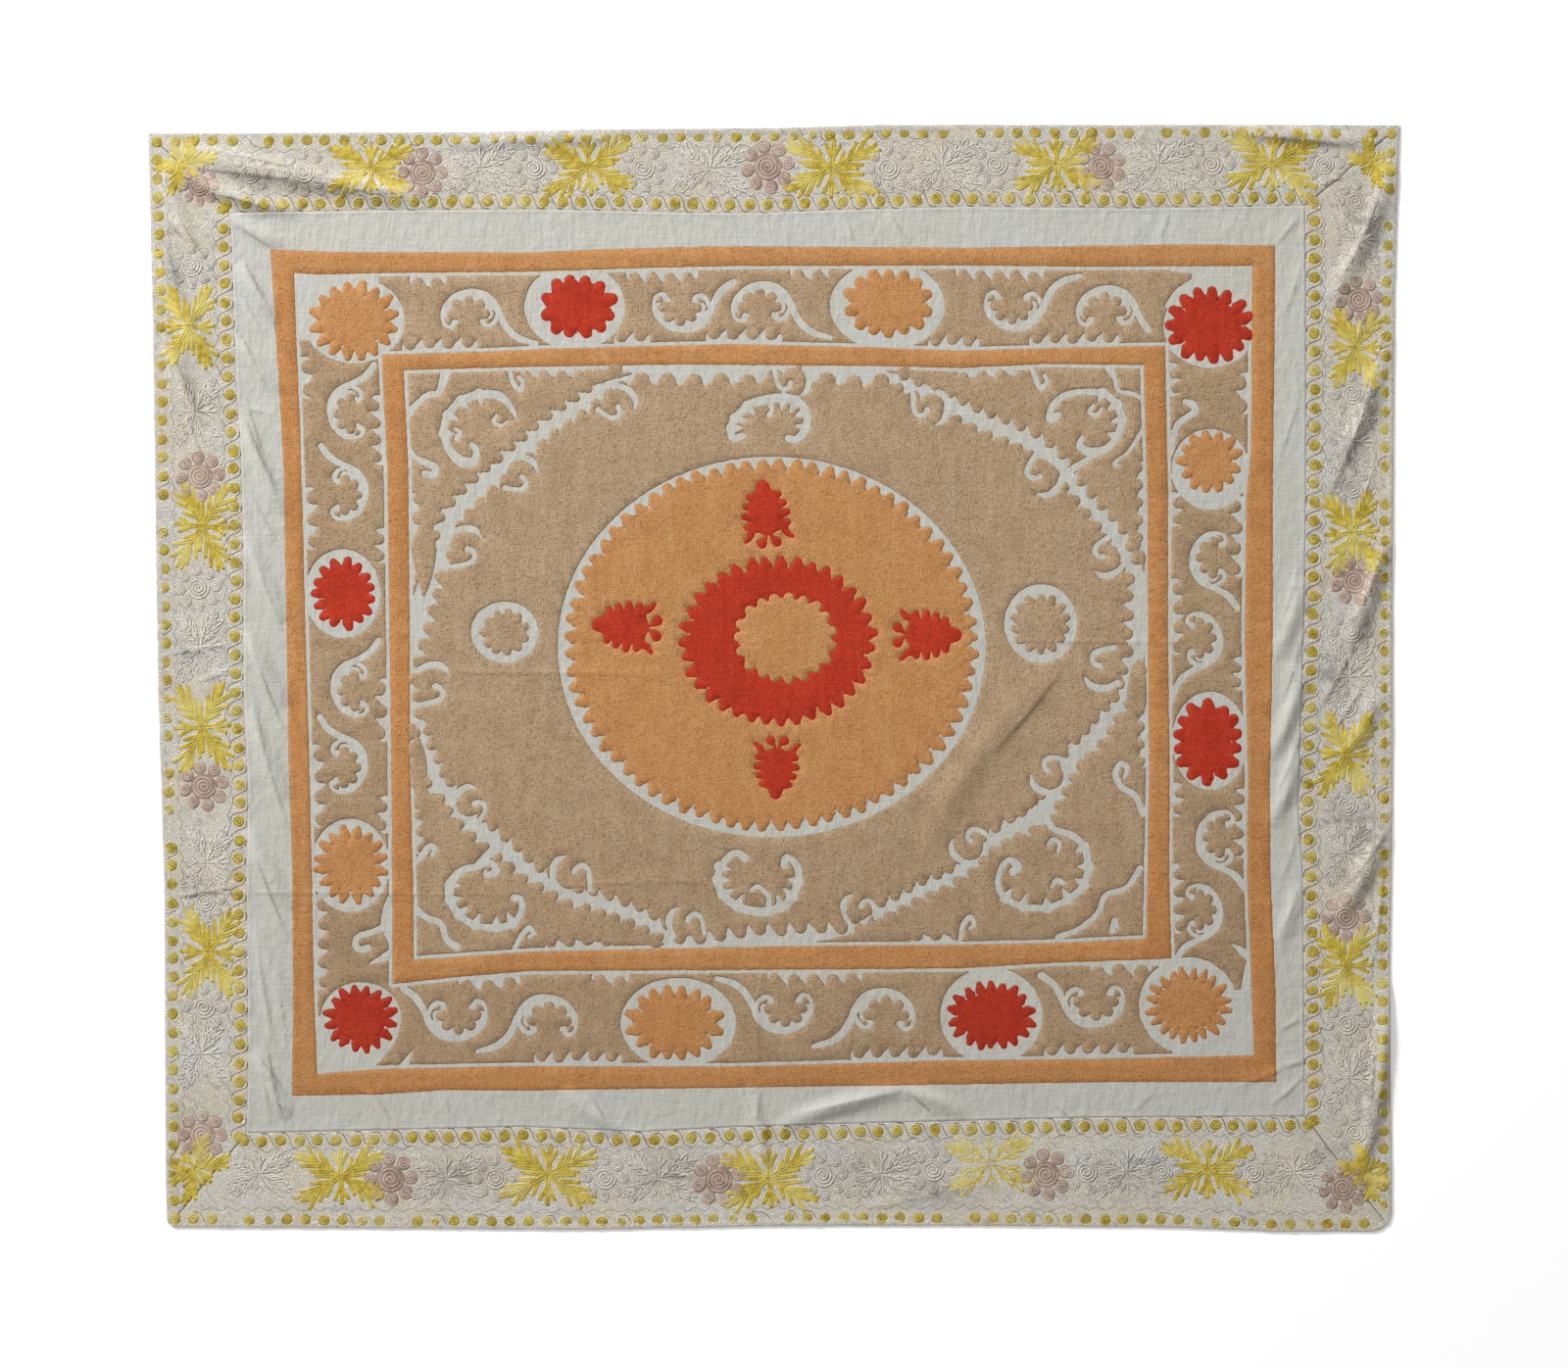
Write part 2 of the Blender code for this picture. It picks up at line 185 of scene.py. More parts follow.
# Small creases on top of the folds, read one by one. Rows: the places of the start and of the end in the
# photo, then rise, half width and bow in metres.
CREASES = [
    # left margin of the panel
    (233, 223, 284, 256, 0.0019, 0.0035, 0.0), (247, 264, 279, 322, 0.0027, 0.0047, -0.003),
    (245, 300, 268, 345, 0.0016, 0.0039, 0.0), (247, 348, 276, 402, 0.0022, 0.0047, -0.002),
    (246, 415, 282, 424, 0.0014, 0.0031, 0.0), (249, 428, 284, 505, 0.0032, 0.0047, -0.003),
    (252, 498, 288, 562, 0.0022, 0.0047, -0.003), (255, 552, 290, 645, 0.0032, 0.0051, -0.004),
    (253, 645, 292, 752, 0.0035, 0.0051, -0.005), (256, 705, 296, 852, 0.0030, 0.0051, -0.006),
    (258, 865, 296, 962, 0.0035, 0.0051, -0.005), (262, 958, 281, 1072, 0.0022, 0.0043, -0.003),
    (270, 1058, 288, 1142, 0.0024, 0.0039, -0.003), (283, 1010, 292, 1060, 0.0016, 0.0035, 0.0),
    (262, 1082, 276, 1148, 0.0016, 0.0039, 0.002), (256, 1071, 292, 1117, 0.0022, 0.0035, 0.0),
    (280, 1120, 299, 1137, 0.0016, 0.0031, 0.0), (236, 330, 262, 372, 0.0016, 0.0031, 0.0),
    (244, 384, 270, 470, 0.0018, 0.0031, -0.002),
    # right margin
    (1330, 262, 1306, 330, 0.0016, 0.0047, 0.003), (1328, 390, 1304, 470, 0.0016, 0.0047, 0.003),
    (1330, 560, 1304, 640, 0.0019, 0.0047, 0.003), (1330, 640, 1305, 720, 0.0027, 0.0047, 0.004),
    (1328, 742, 1300, 812, 0.0030, 0.0047, 0.004), (1326, 840, 1304, 905, 0.0016, 0.0043, 0.003),
    (1326, 905, 1304, 960, 0.0016, 0.0043, 0.0), (1334, 1036, 1304, 1052, 0.0019, 0.0035, 0.0),
    (1332, 1084, 1304, 1088, 0.0019, 0.0031, 0.0), (1330, 1098, 1296, 1128, 0.0022, 0.0043, 0.002),
    # top and bottom margins
    (862, 222, 872, 250, 0.0014, 0.0031, 0.0), (905, 216, 927, 250, 0.0016, 0.0035, 0.0),
    (1192, 216, 1184, 248, 0.0014, 0.0031, 0.0), (1330, 216, 1298, 254, 0.0019, 0.0043, 0.0),
    (560, 222, 572, 256, 0.0011, 0.0035, 0.0), (684, 220, 690, 250, 0.0011, 0.0035, 0.0),
    (274, 1104, 292, 1152, 0.0019, 0.0039, 0.0), (376, 1112, 402, 1152, 0.0022, 0.0043, 0.002),
    (598, 1114, 624, 1156, 0.0019, 0.0039, 0.0), (452, 1116, 462, 1150, 0.0014, 0.0039, 0.0),
    (756, 1110, 768, 1150, 0.0014, 0.0027, 0.0), (775, 1108, 772, 1150, 0.0016, 0.0027, 0.0),
    (800, 1140, 925, 1112, 0.0024, 0.0039, 0.002), (926, 1112, 962, 1146, 0.0027, 0.0039, 0.003),
    (1078, 1126, 1098, 1146, 0.0027, 0.0035, 0.0), (1150, 1140, 1180, 1112, 0.0014, 0.0043, 0.0),
    (1255, 1112, 1330, 1082, 0.0016, 0.0047, 0.0),
    # strips
    (174, 164, 204, 197, 0.0024, 0.0032, 0.0), (200, 194, 282, 216, 0.0026, 0.0032, 0.004),
    (184, 170, 310, 185, 0.0022, 0.0030, 0.002), (305, 182, 412, 202, 0.0020, 0.0030, 0.0),
    (160, 181, 180, 222, 0.0018, 0.0030, 0.0), (178, 216, 222, 284, 0.0024, 0.0032, -0.003),
    (157, 248, 178, 297, 0.0018, 0.0030, -0.002), (188, 420, 206, 470, 0.0016, 0.0030, 0.0),
    (1400, 300, 1384, 352, 0.0018, 0.0032, 0.0), (1404, 470, 1386, 520, 0.0018, 0.0032, 0.0),
    (1390, 700, 1360, 748, 0.0018, 0.0032, 0.0), (1412, 880, 1398, 1000, 0.0020, 0.0032, 0.003),
    (166, 250, 182, 302, 0.0024, 0.0047, 0.003), (182, 262, 212, 292, 0.0019, 0.0047, 0.0),
    (172, 350, 202, 418, 0.0035, 0.0055, -0.004), (168, 222, 196, 250, 0.0019, 0.0043, 0.0),
    (166, 668, 238, 658, 0.0019, 0.0035, 0.0), (196, 697, 240, 684, 0.0016, 0.0035, 0.0),
    (178, 916, 242, 904, 0.0024, 0.0035, 0.0), (176, 852, 236, 862, 0.0014, 0.0039, 0.0),
    (174, 1018, 236, 1030, 0.0014, 0.0043, 0.0), (456, 152, 492, 196, 0.0019, 0.0031, 0.0),
    (200, 152, 330, 178, 0.0032, 0.0055, 0.004), (250, 170, 430, 202, 0.0030, 0.0055, 0.006),
    (1268, 138, 1384, 150, 0.0032, 0.0043, 0.003), (1330, 196, 1390, 172, 0.0016, 0.0047, 0.0),
    (1406, 196, 1362, 292, 0.0030, 0.0062, 0.008), (1404, 372, 1352, 512, 0.0030, 0.0062, 0.008),
    (1410, 560, 1378, 640, 0.0032, 0.0055, 0.004), (1384, 650, 1346, 722, 0.0027, 0.0055, 0.004),
    (1420, 838, 1366, 910, 0.0035, 0.0055, 0.005), (1403, 1046, 1393, 1152, 0.0030, 0.0039, 0.002),
    (1346, 838, 1420, 830, 0.0014, 0.0047, 0.0), (1342, 1138, 1424, 1236, 0.0022, 0.0047, 0.0),
    (700, 1182, 640, 1150, 0.0016, 0.0047, 0.0), (1090, 1168, 1124, 1244, 0.0019, 0.0047, 0.003),
    (880, 1236, 960, 1216, 0.0016, 0.0055, 0.0), (640, 1190, 740, 1206, 0.0016, 0.0055, 0.0),
    # lines left by storage and pulls in the embroidered field
    (430, 686, 702, 688, 0.0014, 0.0031, 0.0), (168, 910, 560, 914, 0.0012, 0.0031, 0.0),
    (1000, 654, 1262, 656, 0.0012, 0.0031, 0.0), (775, 1000, 771, 1104, 0.0014, 0.0031, 0.0),
    (560, 905, 730, 900, 0.0014, 0.0055, 0.003), (700, 900, 900, 936, 0.0012, 0.0062, 0.0),
    (1088, 676, 1010, 770, 0.0024, 0.0055, 0.004), (470, 560, 500, 640, 0.0011, 0.0062, 0.0),
    (288, 700, 330, 800, 0.0016, 0.0062, -0.004), (300, 430, 330, 520, 0.0016, 0.0062, -0.003),
]

# The grid on which the cloth's heights are worked out.
GRID_STEP = 0.0015
CREASE_ROUNDNESS = 1.25

# A crease falls off steeply on its side away from the window and gently on the other.
STEEP_SHARE = 0.60
GENTLE_SHARE = 1.40
FROM_WINDOW = (0.66, -0.75)
GRID_X = np.arange(-1.13, 1.13, GRID_STEP)
GRID_Y = np.arange(-1.0, 1.0, GRID_STEP)

# How far apart a sheet's points lie where it bends sharply, gently and hardly at all.
SHARP = 55.0
GENTLE = 12.0
PANEL_PITCHES = (0.0032, 0.0052, 0.013)
STRIP_PITCHES = (0.0028, 0.0042, 0.008)
THREAD_PITCHES = (0.0034, 0.0055, 0.015)

# The cloth's slight unevenness: height, how far apart its swells lie, and a seed.
UNEVENNESS = ((0.00035, 0.045, 11), (0.0002, 0.019, 12))

# Puckers that the sewing thread draws up across every seam and along the hems' sewing.
PUCKER_PITCH = 0.017
PUCKER_GAPS = (0.6, 1.8)
PUCKER_LENGTH = (0.012, 0.034)
PUCKER_RISE = (0.0003, 0.0009)
PUCKER_HALF_WIDTH = (0.0032, 0.0050)
PUCKER_OFFSET = 0.006
PUCKER_LEAN = 0.012
HEM_SEWING = 0.012

# The panel's turned edge stands a little over the strips.
TURNED_RISE = 0.0004
TURNED_REACH = 0.0055

# How much thinner a sheet gets at its sewn and outer edges, and within what distance.
PANEL_SUNK = 0.0004
PANEL_SUNK_REACH = 0.0008
STRIP_SUNK = 0.0007
STRIP_SUNK_REACH = 0.0014
EDGE_THINNED = 0.0009
EDGE_REACH = 0.0010
HEM_RISE = 0.0007

# Rows of a strip's points beside its seam and beside its outer edge, as distances from them.
SEAM_ROWS = (0.0, 0.0015, 0.0035)
EDGE_ROWS = (0.0030, 0.0012, 0.0)
HEM_STEP = 0.001

# An angle between faces above which an edge is shaded sharp.
SHARP_ANGLE = np.radians(50.0)


def value_noise(x, y, pitch, seed, stretch=(1.0, 1.0)):
    """Smooth noise from -1 to 1 over a grid of random values."""
    random = np.random.default_rng(seed).uniform(-1.0, 1.0, (64, 64))
    u, v = x / (pitch * stretch[0]), y / (pitch * stretch[1])
    column, row = np.floor(u).astype(int), np.floor(v).astype(int)
    s, t = u - column, v - row
    s, t = s * s * (3 - 2 * s), t * t * (3 - 2 * t)
    low = random[row % 64, column % 64] * (1 - s) + random[row % 64, (column + 1) % 64] * s
    high = random[(row + 1) % 64, column % 64] * (1 - s) + random[(row + 1) % 64, (column + 1) % 64] * s
    return low * (1 - t) + high * t


def add_ridge(heights, start, end, rise, half_width, bow, roundness=2.0, shares=(1.0, 1.0)):
    """Adds one ridge to the grid of heights; its crest dies away at both ends.

    The shares widen or narrow its side away from the window and its side towards it.
    """
    start, end = np.array(start), np.array(end)
    reach = 3.0 * half_width + abs(bow)
    low, high = np.minimum(start, end) - reach, np.maximum(start, end) + reach
    columns = slice(*np.searchsorted(GRID_X, (low[0], high[0])))
    rows = slice(*np.searchsorted(GRID_Y, (low[1], high[1])))
    x, y = np.meshgrid(GRID_X[columns], GRID_Y[rows])
    run = end - start
    length = np.hypot(*run)
    heading = run / length
    along = ((x - start[0]) * heading[0] + (y - start[1]) * heading[1]) / length
    aside = (y - start[1]) * heading[0] - (x - start[0]) * heading[1]
    inside = np.clip(along, 0.0, 1.0)
    aside = aside - bow * 4.0 * inside * (1.0 - inside)
    crest = rise * np.sin(np.pi * inside) ** CREST_POWER
    away = np.sign(heading[0] * FROM_WINDOW[1] - heading[1] * FROM_WINDOW[0]) * aside > 0.0
    spread = half_width * np.where(away, *shares)
    heights[rows, columns] += crest * np.exp(-np.abs(aside / spread) ** roundness)


def seam_puckers():
    """Short low ridges across the seams and along the hems, at uneven places."""
    random = np.random.default_rng(77)
    puckers = []
    for side in ("top", "right", "bottom", "left"):
        lengthwise = side in ("top", "bottom")
        for line, shift in ((SEAMS[side], 0.0), (OUTER_EDGES[side], HEM_SEWING)):
            low, high = line[0][0], line[-1][0]
            inward = -1.0 if side in ("top", "right") else 1.0
            place = low + PUCKER_PITCH
            while place < high - PUCKER_PITCH:
                reach = random.uniform(*PUCKER_LENGTH)
                offset = inward * shift
                aside = float(line_at(line, place)) + offset + random.uniform(-PUCKER_OFFSET, PUCKER_OFFSET)
                lean = random.uniform(-PUCKER_LEAN, PUCKER_LEAN)
                ends = [(place - lean, aside - 0.6 * reach), (place + lean, aside + 0.6 * reach)]
                if not lengthwise:
                    ends = [end[::-1] for end in ends]
                rise, half_width = random.uniform(*PUCKER_RISE), random.uniform(*PUCKER_HALF_WIDTH)
                puckers.append((*ends, rise, half_width, 0.0))
                place += PUCKER_PITCH * random.uniform(*PUCKER_GAPS)
    return puckers


def drawn_heights():
    """The grid of the underside's height: folds, small creases, puckers and a slight unevenness."""
    heights = np.zeros((len(GRID_Y), len(GRID_X)))
    for fold in FOLDS:
        add_ridge(heights, *fold[1:])
    heights = np.maximum(heights - FOOT, 0.0)
    for column, row, end_column, end_row, *shape in CREASES:
        start, end = at(column, row), at(end_column, end_row)
        add_ridge(heights, start, end, *shape, CREASE_ROUNDNESS, (STEEP_SHARE, GENTLE_SHARE))
    for pucker in seam_puckers():
        add_ridge(heights, *pucker, CREASE_ROUNDNESS)
    x, y = np.meshgrid(GRID_X, GRID_Y)
    heights += sum(rise * (1.0 + value_noise(x, y, pitch, seed)) for rise, pitch, seed in UNEVENNESS)
    return heights


def drawn_bends(heights):
    """How sharply the cloth bends near each point of the grid, as one over the radius."""
    bends = np.zeros_like(heights)
    for axis in (0, 1):
        slope = np.gradient(heights, GRID_STEP, axis=axis)
        bends = np.maximum(bends, np.abs(np.gradient(slope, GRID_STEP, axis=axis)))
    for axis in (0, 1):
        bends = np.maximum.reduce([np.roll(bends, step, axis=axis) for step in (-2, 0, 2)])
    return bends


def drawn_hollows(heights):
    """How sharply each point of the grid lies in the foot of a crease, where the materials paint shade."""
    hollows = np.zeros_like(heights)
    for axis in (0, 1):
        slope = np.gradient(heights, GRID_STEP, axis=axis)
        hollows += np.gradient(slope, GRID_STEP, axis=axis)
    return np.maximum(hollows, 0.0)


def mark_hollows(mesh, x, y):
    """Gives each point of a mesh the sharpness of the hollow that it lies in."""
    hollow = mesh.attributes.new("hollow", "FLOAT", "POINT")
    hollow.data.foreach_set("value", read_off(HOLLOWS, x, y).astype(np.float32))


def read_off(heights, x, y):
    """The height at any points, between those of the grid."""
    u, v = (x - GRID_X[0]) / GRID_STEP, (y - GRID_Y[0]) / GRID_STEP
    column = np.clip(u.astype(int), 0, len(GRID_X) - 2)
    row = np.clip(v.astype(int), 0, len(GRID_Y) - 2)
    s, t = u - column, v - row
    low = heights[row, column] * (1 - s) + heights[row, column + 1] * s
    high = heights[row + 1, column] * (1 - s) + heights[row + 1, column + 1] * s
    return low * (1 - t) + high * t


def lie(x, y):
    """Height of the underside with the small creases and the cloth's slight unevenness."""
    return read_off(HEIGHTS, x, y)


def room(x, y):
    """How far points are inside the cloth's outer edge and its two rounded corners."""
    left = x - line_at(OUTER_EDGES["left"], y)
    right = line_at(OUTER_EDGES["right"], y) - x
    bottom = y - line_at(OUTER_EDGES["bottom"], x)
    top = line_at(OUTER_EDGES["top"], x) - y
    nearest = np.minimum(np.minimum(left, right), np.minimum(bottom, top))
    for aside, radius in ((left, ROUND_LEFT), (right, ROUND_RIGHT)):
        in_corner = (aside < radius) & (bottom < radius)
        nearest = np.where(in_corner, radius - np.hypot(radius - aside, radius - bottom), nearest)
    return nearest


def line_at(points, place):
    """Where a hand-sewn line lies across, at a place along it."""
    along, across = zip(*points)
    return np.interp(place, along, across)


def graded(length, field_cells):
    """Places from 0 to 1 along a length: close together at the rims, wider over the field between."""
    margin = np.concatenate([RIM, np.linspace(RIM[-1], MARGIN_DEPTH, MARGIN_CELLS + 1)[1:]]) / length
    middle = np.linspace(margin[-1], 1.0 - margin[-1], field_cells + 1)
    return np.concatenate([margin, middle[1:-1], 1.0 - margin[::-1]])


def panel_points():
    """Plan points of the panel, filling the four seam lines, in rows from bottom to top."""
    width = SEAMS["top"][-1][0] - SEAMS["top"][0][0]
    depth = SEAMS["left"][-1][0] - SEAMS["left"][0][0]
    s, t = np.meshgrid(graded(width, FIELD_CELLS_X), graded(depth, FIELD_CELLS_Y))
    x_rough = SEAMS["top"][0][0] + s * width
    y_rough = (1 - t) * line_at(SEAMS["bottom"], x_rough) + t * line_at(SEAMS["top"], x_rough)
    x = (1 - s) * line_at(SEAMS["left"], y_rough) + s * line_at(SEAMS["right"], y_rough)
    y = (1 - t) * line_at(SEAMS["bottom"], x) + t * line_at(SEAMS["top"], x)
    return np.stack([x, y], axis=-1)


def corner_setback(distance, radius):
    """How far a rounded corner's arc lies inside the edge, at a distance along the edge from the corner."""
    inside = np.clip(radius - distance, 0.0, radius)
    return radius - np.sqrt(radius**2 - inside**2)


def subdivided(edge):
    """The points of one panel edge with more between those that are wide apart."""
    parts = []
    for start, end in zip(edge[:-1], edge[1:]):
        count = FIELD_SPLITS if np.hypot(*(end - start)) > 0.007 else 1
        parts.append(start + np.arange(count)[:, None] / count * (end - start))
    return np.concatenate([*parts, edge[-1:]])


def strip_points(side, panel):
    """Plan points of one border strip, in rows from its seam with the panel out to its hemmed edge."""
    panel_edges = {"top": panel[-1], "bottom": panel[0], "left": panel[:, 0], "right": panel[:, -1]}
    seam = subdivided(panel_edges[side])
    lengthwise = side in ("top", "bottom")
    outward = 1.0 if side in ("top", "right") else -1.0
    seam_place, seam_aside = (seam[:, 0], seam[:, 1]) if lengthwise else (seam[:, 1], seam[:, 0])
    share = (seam_place - seam_place[0]) / (seam_place[-1] - seam_place[0])

    outer = OUTER_EDGES[side]
    low, high = outer[0][0], outer[-1][0]
    radius_low, radius_high = CORNER_RADII[side]
    mid_arc = 1.0 - np.sqrt(0.5)
    outer_place = low + mid_arc * radius_low + share * (high - low - mid_arc * (radius_low + radius_high))
    setback = corner_setback(outer_place - low, radius_low) + corner_setback(high - outer_place, radius_high)
    wobble = 0.0009 * value_noise(outer_place, 0 * outer_place, 0.03, len(side))
    wobble = wobble * np.sin(np.pi * share) ** 0.3
    outer_aside = line_at(outer, outer_place) - outward * (setback + np.abs(wobble))

    pull = MITRE_PULL * (1.0 - 2.0 * share) if lengthwise else 0.0
    depth = abs(outer[0][1] - seam_aside[0])
    hem = 1.0 - HEM_WIDTH / depth
    near = np.array(SEAM_ROWS) / depth
    far = 1.0 - np.array(EDGE_ROWS) / depth
    inner = np.linspace(near[-1], hem - HEM_STEP / depth, STRIP_ROWS - 6)[1:]
    rows = np.concatenate([near, inner, [hem + HEM_STEP / depth], far])[:, None]
    place = (1 - rows) * seam_place + rows * outer_place + pull
    aside = (1 - rows) * (seam_aside + outward * SEAM_GAP) + rows * outer_aside
    return np.stack([place, aside] if lengthwise else [aside, place], axis=-1)


def edge_distances(points):
    """For each point of a grid, how far its row and column are from the grid's four edges."""
    from_low = np.hypot(*np.moveaxis(points - points[:1], -1, 0))
    from_high = np.hypot(*np.moveaxis(points - points[-1:], -1, 0))
    from_left = np.hypot(*np.moveaxis(points - points[:, :1], -1, 0))
    from_right = np.hypot(*np.moveaxis(points - points[:, -1:], -1, 0))
    return from_low, from_high, from_left, from_right


def chosen_points(low, high, pitches):
    """Points over a rectangle: close together where the cloth is sharply creased, wide on flat cloth."""
    chosen = []
    for pitch, least, most in zip(pitches, (SHARP, GENTLE, -1.0), (np.inf, SHARP, GENTLE)):
        x, y = np.meshgrid(np.arange(low[0], high[0], pitch), np.arange(low[1], high[1], pitch))
        x, y = x.ravel(), y.ravel()
        bend = read_off(BENDS, x, y)
        keep = (bend > least) & (bend <= most)
        chosen.append(np.column_stack([x[keep], y[keep]]))
    return np.concatenate(chosen)


def inside_outline(points, outline):
    """Which points lie inside a closed outline."""
    inside = np.zeros(len(points), bool)
    x, y = points.T
    for (ax, ay), (bx, by) in zip(outline, np.roll(outline, -1, axis=0)):
        if ay == by:
            continue
        rows = np.flatnonzero((y > min(ay, by)) & (y <= max(ay, by)))
        crossed = ax + (y[rows] - ay) * (bx - ax) / (by - ay) > x[rows]
        inside[rows[crossed]] ^= True
    return inside


def grid_loop(grid, rows, columns):
    """The closed loop round a block of a grid, from the first rows and columns to the last ones."""
    block = grid[rows[0] : rows[1] + 1, columns[0] : columns[1] + 1]
    return np.concatenate([block[0], block[1:, -1], block[-1, -2::-1], block[-2:0:-1, 0]])


def add_cloth(name, points, thickness, material, rows, columns, pitches):
    """A closed sheet over a grid of plan points, given its thickness at each point.

    The grid's own points are kept round the block from rows[0] to rows[1] and from columns[0] to
    columns[1]. Inside the block the cloth's points follow its creases.
    """
    last_row, last_column = points.shape[0] - 1, points.shape[1] - 1
    kept = np.ones(points.shape[:2], bool)
    kept[rows[0] + 1 : rows[1], columns[0] + 1 : columns[1]] = False
    block = grid_loop(points, rows, columns)
    inner = chosen_points(block.min(axis=0), block.max(axis=0), pitches)
    inner = inner[inside_outline(inner, block)]
    flat = np.concatenate([points[kept], inner])
    thick = np.concatenate([thickness[kept], np.full(len(inner), thickness[rows[0] + 1, columns[0] + 1])])
    number = np.full(points.shape[:2], -1)
    number[kept] = np.arange(kept.sum())
    outline = grid_loop(number, (0, last_row), (0, last_column))
    edges = np.column_stack([outline, np.roll(outline, -1)])
    plan, _, triangles, sources, *_ = delaunay_2d_cdt(
        [Vector(point) for point in flat.tolist()], edges.tolist(), [], 1, 1e-7
    )
    plan = np.array([tuple(point) for point in plan])
    thick = thick[[source[0] for source in sources]]
    triangles = np.array(triangles)
    base = lie(*plan.T)
    under = np.column_stack([plan, base])
    over = np.column_stack([plan, base + thick])
    shift = len(plan)
    starts = triangles.ravel()
    ends = np.roll(triangles, -1, axis=1).ravel()
    one_way = starts * shift + ends
    alone = ~np.isin(one_way, ends * shift + starts)
    rim, following = starts[alone], ends[alone]
    walls = np.column_stack([rim, following, following + shift, rim + shift])
    faces = (triangles + shift).tolist() + triangles[:, ::-1].tolist() + walls.tolist()
    mesh = bpy.data.meshes.new(name)
    mesh.from_pydata(np.concatenate([under, over]).tolist(), [], faces)
    mark_hollows(mesh, *np.concatenate([plan, plan]).T)
    mesh.shade_smooth()
    mesh.set_sharp_from_angle(angle=SHARP_ANGLE)
    mesh.materials.append(material)
    cloth = bpy.data.objects.new(name, mesh)
    bpy.context.scene.collection.objects.link(cloth)
    return cloth


def panel_thickness(panel):
    """The panel's thickness at each point: its turned edge stands up and rounds down to the seam."""
    nearest = np.min(edge_distances(panel), axis=0)
    turned = TURNED_RISE * np.sin(np.pi * np.clip(nearest / TURNED_REACH, 0.0, 1.0)) ** 0.8
    return PANEL_THICK + turned - PANEL_SUNK * np.exp(-nearest / PANEL_SUNK_REACH)


def strip_thickness(strip):
    """A strip's thickness: sunk at its seam and mitres, doubled along its hem, rounded at its edge."""
    from_seam, from_edge, from_left, from_right = edge_distances(strip)
    inner = np.minimum(from_seam, np.minimum(from_left, from_right))
    hem = HEM_RISE * (from_edge < HEM_WIDTH)
    sunk = STRIP_SUNK * np.exp(-inner / STRIP_SUNK_REACH)
    return BORDER_THICK + hem - sunk - EDGE_THINNED * np.exp(-from_edge / EDGE_REACH)


HEIGHTS = drawn_heights()
BENDS = drawn_bends(HEIGHTS)
HOLLOWS = drawn_hollows(HEIGHTS)


# Shapes in plan. A canvas holds, for each point of a fine grid, the distance to the edge of the
# embroidered ground: below zero where thread covers the cloth.
CELL = 0.0012
REACH = 0.006


def smooth(rows, closed=False, steps=6):
    """A curve through rows of numbers, with steps samples from each row to the next."""
    rows = np.asarray(rows, float)
    if closed:
        padded = np.vstack([rows[-1:], rows, rows[:2]])
    else:
        padded = np.vstack([2 * rows[:1] - rows[1:2], rows, 2 * rows[-1:] - rows[-2:-1]])
    before, start, end, after = (padded[k : len(padded) - 3 + k, None, :] for k in range(4))
    t = (np.arange(steps) / steps)[None, :, None]
    square = 2 * before - 5 * start + 4 * end - after
    cube = 3 * (start - end) + after - before
    curve = start + 0.5 * t * (end - before + t * (square + t * cube))
    curve = curve.reshape(-1, rows.shape[1])
    return curve if closed else np.vstack([curve, rows[-1:]])


def resampled(path, pitch):
    """Points at an even pitch along a path, and the unit direction at each."""
    steps = np.hypot(*np.diff(path[:, :2], axis=0).T)
    along = np.concatenate([[0.0], np.cumsum(steps)])
    count = max(1, int(round(along[-1] / pitch)))
    places = (np.arange(count) + 0.5) * along[-1] / count
    points = np.stack([np.interp(places, along, column) for column in path.T], axis=-1)
    nudge = 0.25 * pitch
    ahead = np.stack([np.interp(places + nudge, along, path[:, k]) for k in (0, 1)], axis=-1)
    behind = np.stack([np.interp(places - nudge, along, path[:, k]) for k in (0, 1)], axis=-1)
    heading = ahead - behind
    return points, heading / np.hypot(*heading.T)[:, None]


